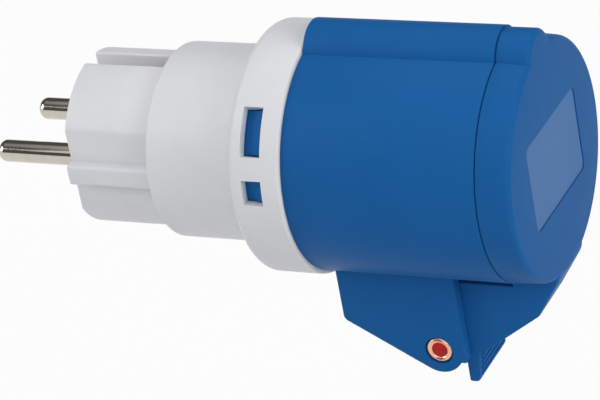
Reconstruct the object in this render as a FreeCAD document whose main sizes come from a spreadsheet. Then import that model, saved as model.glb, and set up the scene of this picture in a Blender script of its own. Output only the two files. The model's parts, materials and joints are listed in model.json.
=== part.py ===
import FreeCAD, Part
import math
import os
import re
import Sketcher

# A mains adapter: a two-pin earthed household plug at one end and an industrial
# three-pole socket with a sprung flap lid at the other.
# Millimetres. The origin is the middle of the plug's front face, midway between the
# two pins. +X runs from the plug to the lid, +Z is the keyway side and the lid's
# hinge is on the -Z side.

SIZES = [
    # plug pins
    ("pin_reach", 19.0, "pin length in front of the plug face"),
    ("pin_radius", 2.4, "radius of a pin"),
    ("pin_tip", 1.9, "rounding of a pin's end"),
    ("pin_spacing", 19.0, "distance between the pin axes"),
    ("pin_collar_rise", 0.3, "how much a pin's radius grows inside its bridge"),
    ("pin_head", 3.4, "radius of the terminal head on a pin"),
    ("head_length", 9.9, "length of the terminal head on a pin"),
    # plug nose
    ("crown", 2.1, "how far the pin bridge stands in front of the nose rim"),
    ("nose_radius", 18.5, "radius of the round plug nose"),
    ("nose_length", 20.0, "length of the plug nose behind its rim"),
    ("nose_front_wall", 3.0, "thickness of the nose's front wall"),
    ("head_room", 0.7, "gap between a terminal head and the nose's wall"),
    ("flat_depth", 2.5, "how deep a side flat is cut"),
    ("rib_half_width", 2.25, "half the width of the rib in a side flat"),
    ("channel_wall", 1.0, "wall between the nose's hollow and a channel"),
    # pin bridge
    ("bridge_rim", 0.8, "how much smaller the pin bridge is than the nose's hollow"),
    ("bridge_play", 0.2, "gap between the bridge's flange and the nose"),
    ("bridge_flange_thick", 3.2, "thickness of that flange"),
    ("post_radius", 3.6, "radius of the earth post on the bridge"),
    # earth contact
    ("strap_width", 4.2, "width of the earth strap"),
    ("strap_thick", 0.8, "thickness of the earth strap"),
    ("strap_seat", 0.1, "gap under the earth strap"),
    ("strap_play", 0.15, "gap beside and over the earth strap"),
    ("strap_setback", 1.5, "from the nose's rim to the strap's ends"),
    ("strap_behind", 0.7, "from the wall behind the nose to the strap's web"),
    ("stud_length", 6.0, "length of the earth terminal's stud"),
    ("pillar_length", 8.5, "length of the earth terminal's pillar"),
    # white housing behind the nose
    ("neck_radius", 20.6, "radius of the plain neck"),
    ("neck_length", 21.7, "length of the neck"),
    ("neck_wall", 2.2, "wall of the neck"),
    ("step_wall", 2.2, "thickness of the wall between nose and neck"),
    ("collar_rise", 0.9, "how far the collar stands out past the barrel"),
    ("collar_length", 11.6, "length of the collar"),
    ("collar_wall", 2.0, "wall of the collar"),
    ("shoulder_wall", 2.0, "thickness of the collar's shoulder"),
    ("shoulder_round", 1.8, "rounding of the collar's shoulder"),
    ("window_start", 3.1, "from the shoulder to a latch window"),
    ("window_length", 4.4, "length of a latch window along the axis"),
    ("upper_window_angle", 34.6, "middle of the wide window above the side"),
    ("upper_window_span", 22.4, "angle that the wide window spans"),
    ("lower_window_angle", 7.0, "middle of the narrow window above the side"),
    ("lower_window_span", 11.6, "angle that the narrow window spans"),
    # blue socket housing
    ("socket_bore", 22.4, "radius of the cavity for the mating plug"),
    ("barrel_wall", 3.1, "wall of the blue barrel"),
    ("barrel_length", 41.8, "length of the blue barrel"),
    ("shadow_gap", 0.1, "gap between collar and barrel"),
    ("spigot_play", 0.2, "radial gap between spigot and collar"),
    ("spigot_length", 8.85, "length of the spigot in the collar"),
    ("spigot_wall", 2.2, "wall of that spigot"),
    ("base_setback", 1.8, "from the barrel's edge to the back of the base wall"),
    ("base_wall", 3.0, "thickness of the base wall"),
    ("lip_wall", 0.8, "wall of the sealing lip"),
    ("lip_length", 1.5, "length of the sealing lip"),
    ("latch_play", 0.3, "gap between a latch and its window along the axis"),
    ("latch_slack", 2.0, "angle by which a latch is shorter than its window"),
    ("latch_height", 1.3, "how far a latch stands out of the spigot"),
    ("latch_toe", 0.1, "height of a latch where its ramp begins"),
    ("latch_crest", 0.6, "length of a latch's flat top"),
    ("latch_root", 0.5, "depth to which a latch is rooted in the spigot"),
    ("ridge_radius", 6.5, "radius of the keyway ridge's back"),
    ("ridge_rise", 0.4, "from the cavity's wall out to that radius' centre"),
    ("keyway_width", 7.6, "width of the keyway"),
    ("keyway_depth", 2.5, "depth of the keyway"),
    # hinge bracket
    ("hinge_setback", 20.7, "from the barrel's open end back to the hinge"),
    ("hinge_offset", 16.0, "from the barrel's surface to the hinge"),
    ("slot_half_width", 7.7, "half the width between the bracket's cheeks"),
    ("cheek", 2.7, "thickness of a cheek"),
    ("bracket_setback", 0.45, "from the barrel's edge to the bracket"),
    ("bracket_rear", 5.85, "from the hinge to the bracket's rear edge"),
    ("bracket_foot", 2.65, "from the hinge down to the bracket's foot"),
    ("bracket_slope", 30.4, "angle of the bracket's lower edge"),
    ("bracket_boss", 5.28, "radius of the boss round the hinge"),
    ("bracket_root", 4.0, "depth to which the bracket is rooted in the barrel"),
    ("web_setback", 13.1, "from the hinge to the web between the cheeks"),
    ("web_thick", 2.5, "thickness of that web"),
    ("slot_gap", 0.25, "from the barrel's surface to the slot's roof"),
    # hinge rivet
    ("rivet_radius", 2.1, "radius of the rivet's shank"),
    ("rivet_head", 2.85, "radius of the rivet's heads"),
    ("rivet_head_thick", 0.6, "thickness of the rivet's heads"),
    ("rivet_bore", 1.75, "radius of the rivet's dimpled ends"),
    ("rivet_bore_depth", 0.8, "depth of those dimples"),
    ("recess_play", 0.25, "radial gap round a rivet head in its recess"),
    ("recess_depth", 0.7, "depth of that recess"),
    ("rivet_play", 0.05, "radial gap between rivet and bracket"),
    ("hinge_play", 0.08, "radial gap between rivet and lid"),
    # lid
    ("joint_gap", 0.2, "gap between barrel and lid"),
    ("lid_inset", 0.1, "how much smaller the lid's radius is than the barrel's"),
    ("lid_depth", 7.1, "depth of the lid along the axis"),
    ("lid_taper", 0.4, "how much the lid's radius draws in towards its face"),
    ("lid_round", 1.2, "rounding of the lid's front edge"),
    ("lid_skirt", 1.4, "wall of the lid's skirt"),
    ("lid_plate", 2.2, "thickness of the lid's front plate"),
    ("lid_ridge_inset", 0.4, "how much smaller the ridge is on the lid"),
    ("panel_width", 27.6, "width of the plain panel on the lid"),
    ("panel_height", 19.0, "height of that panel"),
    ("panel_depth", 0.3, "depth of that panel"),
    ("panel_corner", 1.5, "corner rounding of that panel"),
    ("arm_side_play", 0.2, "gap between the arm and a cheek"),
    ("arm_gap", 0.45, "gap between the slot's roof and the arm"),
    ("arm_front_rise", 1.5, "from the lid's edge to where the line of the arm's front meets its face"),
    ("arm_front_lean", 31.5, "lean of the arm's front"),
    ("arm_under_rise", 35.8, "slope of the arm's underside"),
    ("arm_drop", 7.7, "from the lid's edge down to the arm's corner"),
    ("arm_edge", 1.5, "rounding of the arm's two front edges"),
    ("arm_lap", 1.5, "how far the arm laps over the lid's face above that line"),
    ("arm_back", 4.4, "from the hinge to the arm's top corner"),
    ("arm_skin", 2.4, "thickness of the arm's front and underside"),
    ("arm_top_skin", 1.0, "thickness of the arm's top"),
    ("arm_wall", 2.3, "thickness of the arm's sides"),
    ("knuckle_radius", 4.6, "radius of the lid's knuckle"),
    ("tab_front", 7.7, "from the hinge to the tab's front"),
    ("tab_reach", 8.9, "from the hinge down to the tab's end"),
    ("tab_taper", 0.8, "how much the tab's front draws in"),
    ("tab_round", 0.9, "rounding of the tab's end"),
    # lid gasket
    ("gasket_width", 2.4, "radial width of the lid gasket"),
    ("gasket_edge", 0.2, "gap between gasket and skirt"),
    ("gasket_play", 0.1, "gap between lip and gasket"),
    ("gasket_rib", 1.0, "thickness of the rib that holds the gasket"),
    ("gasket_rib_length", 2.8, "length of that rib"),
    ("gasket_rib_play", 0.1, "gap between rib and gasket"),
    # lid spring
    ("spring_wire", 0.45, "radius of the spring's wire"),
    ("spring_radius", 3.9, "mean radius of the spring's coil"),
    ("spring_pitch", 1.5, "distance between the spring's turns"),
    ("spring_turns", 4, "whole turns of the spring"),
    ("leg_play", 0.2, "gap between the spring's leg and the tab"),
    ("leg_setback", 0.7, "from the tab's end to the end of that leg"),
    ("leg_out", 0.5, "how far the other leg passes through the web"),
    ("anchor_play", 0.2, "radial gap round that leg in the web"),
    # contact carrier
    ("mating_gap", 4.9, "room round the carrier for the mating plug's sleeve"),
    ("carrier_setback", 1.0, "from the barrel's open end to the carrier's face"),
    ("carrier_edge", 1.0, "rounding of the carrier's front edge"),
    ("contact_circle", 8.75, "distance from the axis to a contact"),
    ("pole_bore", 2.5, "bore radius of a line or neutral contact"),
    ("earth_bore", 3.5, "bore radius of the earth contact"),
    ("sleeve_wall", 1.1, "wall of a contact sleeve"),
    ("sleeve_room", 0.6, "room round a sleeve for it to spread"),
    ("sleeve_setback", 1.9, "from the carrier's face to a sleeve's mouth"),
    ("sleeve_slit", 0.8, "width of the slits in a sleeve"),
    ("slit_length", 22.0, "length of the slits in a sleeve"),
    ("bore_depth", 28.0, "depth of a sleeve's bore"),
    ("flange_rise", 1.0, "how far a contact's flange stands out"),
    ("flange_thick", 1.6, "thickness of that flange"),
    ("flange_play", 0.2, "gap round that flange in the carrier"),
    ("entry_play", 0.3, "radial room round a pin in the carrier's face"),
    ("shank_radius", 3.6, "radius of a contact's rear end"),
    ("shank_reach", 5.4, "how far that end stands behind the base wall"),
    # clips round the sleeves
    ("clip_thick", 0.4, "thickness of a sleeve clip"),
    ("clip_width", 3.0, "width of a sleeve clip"),
    ("clip_setback", 5.0, "from a sleeve's mouth to its clip"),
    ("clip_span", 300.0, "angle that a clip covers"),
    # screws
    ("screw_across", 12.0, "sideways distance to a carrier screw"),
    ("screw_up", 6.5, "height of the carrier screws"),
    ("screw_shank", 1.25, "radius of a carrier screw"),
    ("screw_room", 0.35, "radial gap round that screw in the base wall"),
    ("screw_length", 12.0, "length of a carrier screw under its head"),
    ("screw_head", 2.6, "radius of a carrier screw's head"),
    ("screw_head_thick", 2.0, "thickness of that head"),
    ("grub_radius", 1.5, "radius of a terminal screw"),
    ("grub_length", 2.7, "length of a terminal screw"),
    ("slot_width", 0.6, "width of a screw's slot"),
    ("slot_depth", 0.9, "depth of a screw's slot"),
    ("grub_setback", 4.2, "from a terminal's mouth to its screw"),
    ("rear_grub_setback", 3.2, "from a contact's rear mouth to its screw"),
    # wiring
    ("wire_bore", 1.3, "radius of the hole that takes a wire end"),
    ("wire_bore_depth", 8.0, "depth of that hole"),
    ("wire_radius", 1.4, "radius of an insulated wire"),
    ("ferrule_play", 0.15, "radial gap between a ferrule and its hole"),
    ("ferrule_length", 7.4, "length of a ferrule inside its terminal"),
    ("ferrule_collar", 1.75, "radius of a ferrule's collar"),
    ("ferrule_collar_length", 1.6, "length of that collar"),
    ("wire_lead", 3.4, "straight wire at each end"),
    ("wire_bow", 2.2, "how far the outer wires bow outwards"),
    # seal between the housings
    ("seal_width", 4.8, "radial width of the housing seal"),
    ("seal_play", 0.4, "gap between that seal and the collar"),
    # clearances
    ("assembly_play", 0.05, "gap between pieces that are put together"),
]

# Places along the axis, worked out from the sizes.
STEP = "(crown + nose_length)"
SHOULDER = f"({STEP} + neck_length)"
COLLAR_END = f"({SHOULDER} + collar_length)"
BARREL_START = f"({COLLAR_END} + shadow_gap)"
BARREL_END = f"({BARREL_START} + barrel_length)"
LIP_END = f"({BARREL_END} + lip_length)"
SPIGOT_START = f"({BARREL_START} - spigot_length)"
SEAL_START = f"({SHOULDER} + shoulder_wall)"
BASE_START = f"({BARREL_START} + base_setback)"
BASE_END = f"({BASE_START} + base_wall)"
LID_START = f"({BARREL_END} + joint_gap)"
LID_FACE = f"({LID_START} + lid_depth)"
LID_INSIDE = f"({LID_FACE} - lid_plate)"
BRIDGE_STEP = "(crown + nose_front_wall + assembly_play)"
BRIDGE_BACK = f"({BRIDGE_STEP} + bridge_flange_thick)"
STRAP_WEB = f"({STEP} + step_wall + strap_behind)"
PILLAR_START = f"({STRAP_WEB} + strap_thick + assembly_play)"
CARRIER_START = f"({BASE_END} + assembly_play)"
CARRIER_END = f"({BARREL_END} - carrier_setback)"
SLEEVE_END = f"({CARRIER_END} - sleeve_setback)"
SHANK_START = f"({BASE_START} - shank_reach)"
HINGE_Z = "(-hinge_drop)"
SPRING_SPREAD = "(spring_pitch * (spring_turns + 0.25))"

# Sizes that follow from the others, so that pieces which fit together keep their fit.
FITTED = [
    ("pin_collar", "pin_radius + pin_collar_rise", "radius of the pin inside its bridge"),
    ("nose_bore", "pin_spacing / 2 + pin_head + head_room", "radius of the hollow in the nose"),
    ("flat_distance", "nose_radius - flat_depth", "distance from the axis to a side flat"),
    ("channel_floor", "nose_bore + channel_wall", "distance from the axis to a channel's floor"),
    ("channel_width", "strap_width + 2 * strap_play", "width of the earth contact's channel"),
    ("bridge_radius", "nose_bore - bridge_rim", "radius of the pin bridge"),
    ("bridge_flange", "nose_bore - bridge_play", "radius of the flange that holds the bridge"),
    ("neck_bore", "neck_radius - neck_wall", "radius inside the neck"),
    ("barrel_radius", "socket_bore + barrel_wall", "radius of the blue barrel"),
    ("collar_radius", "barrel_radius + collar_rise", "radius of the collar"),
    ("collar_bore", "collar_radius - collar_wall", "radius inside the collar"),
    ("spigot_radius", "collar_bore - spigot_play", "radius of the spigot in the collar"),
    ("spigot_bore", "spigot_radius - spigot_wall", "radius inside the spigot"),
    ("seal_outer", "collar_bore - seal_play", "outer radius of the housing seal"),
    ("seal_inner", "seal_outer - seal_width", "inner radius of the housing seal"),
    ("lip_radius", "socket_bore + lip_wall", "radius of the sealing lip"),
    ("ridge_centre", "socket_bore + ridge_rise", "distance from the axis to the ridge's centre"),
    ("keyway_top", "socket_bore + keyway_depth", "distance from the axis to the keyway's floor"),
    ("hinge_along", f"{BARREL_END} - hinge_setback", "where the hinge is along the axis"),
    ("hinge_drop", "barrel_radius + hinge_offset", "distance from the axis to the hinge"),
    ("bracket_half_width", "slot_half_width + cheek", "half the width over the bracket's cheeks"),
    ("bracket_start", f"{BARREL_START} + bracket_setback", "edge of the bracket towards the plug"),
    ("bracket_end", "hinge_along + bracket_rear", "edge of the bracket towards the lid"),
    ("web_start", "hinge_along - web_setback", "face of the web between the cheeks"),
    ("slot_roof", "barrel_radius + slot_gap", "distance from the axis to the slot's roof"),
    ("recess_radius", "rivet_head + recess_play", "radius of the recess for a rivet head"),
    ("lid_radius", "barrel_radius - lid_inset", "radius of the lid"),
    ("lid_front_radius", "lid_radius - lid_taper", "radius of the lid at its face"),
    ("lid_bore", "lid_radius - lid_skirt", "radius inside the lid's skirt"),
    ("lid_ridge_radius", "ridge_radius - lid_ridge_inset", "radius of the ridge's end on the lid"),
    ("arm_half_width", "slot_half_width - arm_side_play", "half the width of the lid's arm"),
    ("arm_roof", "slot_roof + arm_gap", "distance from the axis to the arm's top"),
    ("arm_front_start", "lid_radius - arm_front_rise", "distance from the axis to the arm's front line"),
    ("arm_nose_drop", "lid_radius + arm_drop", "distance from the axis to the arm's corner"),
    ("arm_channel", "arm_half_width - arm_wall", "half the width of the arm's channel"),
    ("tab_back", "spring_radius + spring_wire + leg_play", "from the hinge to the tab's back"),
    ("spring_leg", "tab_reach - leg_setback", "length of the leg that pushes the tab"),
    ("anchor_radius", "spring_wire + anchor_play", "radius of the hole that holds the other leg"),
    ("gasket_outer", "lid_bore - gasket_edge", "outer radius of the lid gasket"),
    ("gasket_inner", "gasket_outer - gasket_width", "inner radius of the lid gasket"),
    ("carrier_radius", "socket_bore - mating_gap", "radius of the contact carrier"),
    ("carrier_length", f"{CARRIER_END} - {CARRIER_START}", "length of the contact carrier"),
    ("ferrule_radius", "wire_bore - ferrule_play", "radius of a ferrule"),
]
TAB_TIP_Z = f"({HINGE_Z} - tab_reach)"
ARM_NOSE_X = f"({LID_FACE} - (arm_nose_drop - arm_front_start) * tan(arm_front_lean))"

WORDS = set(name for name, _, _ in SIZES + FITTED)
# Two places or volumes count as the same when they differ by less than this.
NEAR = 0.001

doc = FreeCAD.newDocument("Adapter")
sheet = doc.addObject("Spreadsheet::Sheet", "Sizes")


def fill_sheet():
    for row, (name, size, meaning) in enumerate(SIZES + FITTED, 1):
        sheet.set(f"A{row}", name)
        sheet.set(f"C{row}", meaning)
        sheet.setAlias(f"B{row}", name)
    for row, (name, size, meaning) in enumerate(SIZES + FITTED, 1):
        sheet.set(f"B{row}", f"={size}")
    doc.recompute()


def bound(text):
    """The expression with each size named in full."""

    def full(match):
        word = match.group(0)
        return f"Sizes.{word}" if word in WORDS else word

    return re.sub(r"[a-z_]+", full, text)


def value(text):
    """The number that an expression of sizes gives."""
    return float(sheet.evalExpression(text))


def bind(item, prop, text):
    item.setExpression(prop, bound(text))


def new_body(label, x="0", y="0", z="0"):
    body = doc.addObject("PartDesign::Body", label)
    body.Label = label
    for letter, text in (("x", x), ("y", y), ("z", z)):
        bind(body, f"Placement.Base.{letter}", text)
    return body


def new_sketch(body, name, plane, shift="0", turn=None):
    """A sketch on an origin plane, moved along its normal or turned about its X axis."""
    sketch = body.newObject("Sketcher::SketchObject", f"{body.Label}_{name}")
    role = f"{plane}_Plane"
    sketch.AttachmentSupport = (next(o for o in body.Origin.OriginFeatures if o.Role == role), [""])
    sketch.MapMode = "FlatFace"
    if turn is not None:
        sketch.AttachmentOffset = FreeCAD.Placement(
            FreeCAD.Vector(), FreeCAD.Rotation(FreeCAD.Vector(1, 0, 0), value(turn)))
        bind(sketch, "AttachmentOffset.Rotation.Angle", turn)
    bind(sketch, "AttachmentOffset.Base.z", shift)
    return sketch


def fix_point(sketch, geometry, point, across, up):
    for kind, text in (("DistanceX", across), ("DistanceY", up)):
        index = sketch.addConstraint(Sketcher.Constraint(kind, -1, 1, geometry, point, value(text)))
        sketch.setExpression(f"Constraints[{index}]", bound(text))


def outlines(body, name, plane, loops, shift="0", turn=None):
    """A sketch of closed straight-sided outlines whose corners follow the sizes."""
    sketch = new_sketch(body, name, plane, shift, turn)
    for corners in loops:
        points = [FreeCAD.Vector(value(across), value(up), 0) for across, up in corners]
        first = sketch.GeometryCount
        count = len(corners)
        for k in range(count):
            sketch.addGeometry(Part.LineSegment(points[k], points[(k + 1) % count]))
        for k in range(count):
            sketch.addConstraint(Sketcher.Constraint("Coincident", first + k, 2, first + (k + 1) % count, 1))
        for k, (across, up) in enumerate(corners):
            fix_point(sketch, first + k, 1, across, up)
    return sketch


def outline(body, name, plane, corners, shift="0", turn=None):
    return outlines(body, name, plane, [corners], shift, turn)


def circles(body, name, plane, items, shift="0"):
    """A sketch of circles, each given by its centre and its radius."""
    sketch = new_sketch(body, name, plane, shift)
    for across, up, radius in items:
        centre = FreeCAD.Vector(value(across), value(up), 0)
        index = sketch.addGeometry(Part.Circle(centre, FreeCAD.Vector(0, 0, 1), value(radius)))
        rule = sketch.addConstraint(Sketcher.Constraint("Radius", index, value(radius)))
        sketch.setExpression(f"Constraints[{rule}]", bound(radius))
        fix_point(sketch, index, 3, across, up)
    return sketch


def box_corners(low_across, low_up, high_across, high_up):
    return [(low_across, low_up), (high_across, low_up), (high_across, high_up), (low_across, high_up)]


def add_feature(body, kind, sketch, grows, settings, bindings):
    """Add a feature and check that it grew or cut the body."""
    before = body.Shape.Volume if body.Shape.Solids else 0.0
    feature = body.newObject(f"PartDesign::{kind}", f"{sketch.Label}_{kind}")
    feature.Profile = sketch
    for name, setting in settings.items():
        setattr(feature, name, setting)
    for name, text in bindings.items():
        bind(feature, name, text)
    doc.recompute()
    change = body.Shape.Volume - before
    if (change > 0) != grows or abs(change) < NEAR:
        raise RuntimeError(f"{feature.Label} changed the volume of {body.Label} by {change:.3f}")
    return feature


def pad(body, sketch, length, centred=False):
    return add_feature(body, "Pad", sketch, True, {"Midplane": centred}, {"Length": length})


def pocket(body, sketch, length, centred=False, forward=False):
    settings = {"Midplane": centred, "Reversed": forward}
    return add_feature(body, "Pocket", sketch, False, settings, {"Length": length})


def revolve(body, sketch, axis="H_Axis", angle="360", centred=False):
    settings = {"ReferenceAxis": (sketch, [axis]), "Midplane": centred}
    return add_feature(body, "Revolution", sketch, True, settings, {"Angle": angle})


def groove(body, sketch, angle="360", centred=False):
    settings = {"ReferenceAxis": (sketch, ["H_Axis"]), "Midplane": centred}
    return add_feature(body, "Groove", sketch, False, settings, {"Angle": angle})


def round_edges(body, name, radius, chosen):
    """Round the edges that the test picks out."""
    base = body.Tip
    names = [f"Edge{k}" for k, edge in enumerate(base.Shape.Edges, 1) if chosen(edge)]
    if not names:
        raise RuntimeError(f"{body.Label} has no edges for {name}")
    fillet = body.newObject("PartDesign::Fillet", f"{body.Label}_{name}")
    fillet.Base = (base, names)
    bind(fillet, "Radius", radius)
    doc.recompute()
    return fillet


def fuse(body, other):
    """Join another body's solid to this one and check that it grew."""
    before = body.Shape.Volume
    joined = body.newObject("PartDesign::Boolean", f"{body.Label}_and_{other.Label}")
    joined.Type = "Fuse"
    joined.setObjects([other])
    doc.recompute()
    if body.Shape.Volume < before + NEAR:
        raise RuntimeError(f"{joined.Label} did not grow {body.Label}")


def ring_edge(along, radius):
    """A test for the circular edge about the axis at this place and radius."""
    place, size = value(along), value(radius)

    def chosen(edge):
        if not isinstance(edge.Curve, Part.Circle):
            return False
        circle = edge.Curve
        off_axis = math.hypot(circle.Center.y, circle.Center.z)
        return abs(circle.Center.x - place) < NEAR and abs(circle.Radius - size) < NEAR and off_axis < NEAR

    return chosen


def group(label, members):
    compound = doc.addObject("Part::Compound", label)
    compound.Label = label
    compound.Links = members
    return compound


def polar(angle):
    """Where a contact stands on its circle, counted from +Z, as Y and Z."""
    return f"(contact_circle * sin({angle}))", f"(contact_circle * cos({angle}))"


EARTH_AT = polar(0)
NEUTRAL_AT = polar(120)
LINE_AT = polar(-120)
LINE_PIN_Y = "(-pin_spacing / 2)"
NEUTRAL_PIN_Y = "(pin_spacing / 2)"


def make_pin(label, across):
    """A solid plug pin with a rounded end and a terminal head inside the plug."""
    body = new_body(label, y=across)
    head_start = f"({BRIDGE_BACK} + assembly_play)"
    head_end = f"({head_start} + head_length)"
    revolve(body, outline(body, "profile", "XZ", [
        ("-pin_reach", "0"), ("-pin_reach", "pin_radius"), ("0", "pin_radius"), ("0", "pin_collar"),
        (head_start, "pin_collar"), (head_start, "pin_head"), (head_end, "pin_head"), (head_end, "0")]))
    pocket(body, circles(body, "wire_hole", "YZ", [("0", "0", "wire_bore")], head_end), "wire_bore_depth")
    pocket(body, circles(body, "screw_hole", "XY", [
        (f"({head_end} - grub_setback)", "0", "grub_radius + assembly_play")]), "pin_head + 1", forward=True)
    round_edges(body, "tip", "pin_tip", ring_edge("-pin_reach", "pin_radius"))
    return body


def make_pin_bridge():
    """The insulating block that carries both pins and the earth post."""
    body = new_body("pin_bridge")
    post_end = f"({STRAP_WEB} - assembly_play)"
    revolve(body, outline(body, "profile", "XZ", [
        ("0", "0"), ("0", "bridge_radius"), (BRIDGE_STEP, "bridge_radius"), (BRIDGE_STEP, "bridge_flange"),
        (BRIDGE_BACK, "bridge_flange"), (BRIDGE_BACK, "post_radius"), (post_end, "post_radius"),
        (post_end, "0")]))
    hole = "pin_collar + assembly_play"
    pocket(body, circles(body, "pin_holes", "YZ", [
        (LINE_PIN_Y, "0", hole), (NEUTRAL_PIN_Y, "0", hole)], BRIDGE_BACK), f"{BRIDGE_BACK} + 1")
    pocket(body, circles(body, "stud_hole", "YZ", [
        ("0", "0", "grub_radius + assembly_play")], post_end), "stud_length + 1")
    return body


def make_earth_strap():
    """The bent strip whose two ends are the plug's earth contacts."""
    body = new_body("earth_strap")
    start = "(crown + strap_setback)"
    inner = "(channel_floor + strap_seat)"
    outer = f"({inner} + strap_thick)"
    back = f"({STRAP_WEB} + strap_thick)"
    pad(body, outline(body, "profile", "XZ", [
        (start, outer), (back, outer), (back, f"-{outer}"), (start, f"-{outer}"), (start, f"-{inner}"),
        (STRAP_WEB, f"-{inner}"), (STRAP_WEB, inner), (start, inner)]), "strap_width", centred=True)
    pocket(body, circles(body, "hole", "YZ", [
        ("0", "0", "grub_radius + 2 * assembly_play")], back), "strap_thick + 1")
    return body


def make_earth_terminal():
    """The brass pillar that holds the strap to the bridge and takes the earth wire."""
    body = new_body("earth_terminal")
    start = f"({PILLAR_START} - strap_thick - 2 * assembly_play - stud_length)"
    end = f"({PILLAR_START} + pillar_length)"
    revolve(body, outline(body, "profile", "XZ", [
        (start, "0"), (start, "grub_radius"), (PILLAR_START, "grub_radius"), (PILLAR_START, "pin_head"),
        (end, "pin_head"), (end, "0")]))
    pocket(body, circles(body, "wire_hole", "YZ", [("0", "0", "wire_bore")], end), "wire_bore_depth")
    pocket(body, circles(body, "screw_hole", "XY", [
        (f"({end} - grub_setback)", "0", "grub_radius + assembly_play")]), "pin_head + 1", forward=True)
    return body


def window_groove(body, name, side, angle, span):
    """One latch window, cut through the collar on one side."""
    start = f"({SHOULDER} + window_start)"
    end = f"({start} + window_length)"
    turn = f"{side} * (90 - {angle})"
    corners = box_corners(start, "collar_bore - 1", end, "collar_radius + 1")
    sketch = outline(body, name, "XZ", corners, turn=turn)
    groove(body, sketch, span, centred=True)


def make_plug_housing():
    """The white housing: plug nose, neck and collar in one moulding."""
    body = new_body("plug_housing")
    revolve(body, outline(body, "outside", "XZ", [
        ("crown", "0"), ("crown", "nose_radius"), (STEP, "nose_radius"), (STEP, "neck_radius"),
        (SHOULDER, "neck_radius"), (SHOULDER, "collar_radius"), (COLLAR_END, "collar_radius"),
        (COLLAR_END, "0")]))
    round_edges(body, "shoulder", "shoulder_round", ring_edge(SHOULDER, "collar_radius"))
    beyond = "(nose_radius + 1)"
    flats = []
    for low, high in (("flat_distance", beyond), (f"-{beyond}", "-flat_distance")):
        flats.append(box_corners(low, "rib_half_width", high, beyond))
        flats.append(box_corners(low, f"-{beyond}", high, "-rib_half_width"))
    pocket(body, outlines(body, "side_flats", "YZ", flats, "crown"), "nose_length", forward=True)
    half = "(channel_width / 2)"
    channels = [box_corners(f"-{half}", "channel_floor", half, beyond),
                box_corners(f"-{half}", f"-{beyond}", half, "-channel_floor")]
    pocket(body, outlines(body, "channels", "YZ", channels, "crown"), "nose_length", forward=True)
    roof = "(channel_floor + strap_seat + strap_thick + strap_play)"
    slots = [box_corners(f"-{half}", "channel_floor", half, roof),
             box_corners(f"-{half}", f"-{roof}", half, "-channel_floor")]
    pocket(body, outlines(body, "strap_slots", "YZ", slots, STEP), "step_wall + 1", forward=True)
    nose_back = "(crown + nose_front_wall)"
    neck_front = f"({STEP} + step_wall)"
    opening = "(bridge_radius + 2 * assembly_play)"
    groove(body, outline(body, "inside", "XZ", [
        ("crown - 1", "0"), ("crown - 1", opening), (nose_back, opening), (nose_back, "nose_bore"),
        (neck_front, "nose_bore"), (neck_front, "neck_bore"), (SEAL_START, "neck_bore"),
        (SEAL_START, "collar_bore"), (f"({COLLAR_END} + 1)", "collar_bore"), (f"({COLLAR_END} + 1)", "0")]))
    for side, word in ((1, "near"), (-1, "far")):
        window_groove(body, f"upper_window_{word}", side, "upper_window_angle", "upper_window_span")
        window_groove(body, f"lower_window_{word}", side, "lower_window_angle", "lower_window_span")
    return body


def make_housing_seal():
    """The flat ring squeezed between the two housings."""
    body = new_body("housing_seal")
    start = f"({SEAL_START} + assembly_play)"
    end = f"({SPIGOT_START} - assembly_play)"
    revolve(body, outline(body, "profile", "XZ", box_corners(start, "seal_inner", end, "seal_outer")))
    return body


def latch(body, name, side, angle, span):
    """A ramped latch on the spigot, standing inside its window."""
    start = f"({SHOULDER} + window_start + latch_play)"
    end = f"({SHOULDER} + window_start + window_length - latch_play)"
    top = "(spigot_radius + latch_height)"
    sketch = outline(body, name, "XZ", [
        (start, "spigot_radius - latch_root"), (end, "spigot_radius - latch_root"), (end, top),
        (f"({end} - latch_crest)", top), (start, "spigot_radius + latch_toe")],
        turn=f"{side} * (90 - {angle})")
    revolve(body, sketch, angle=f"{span} - latch_slack", centred=True)


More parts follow.
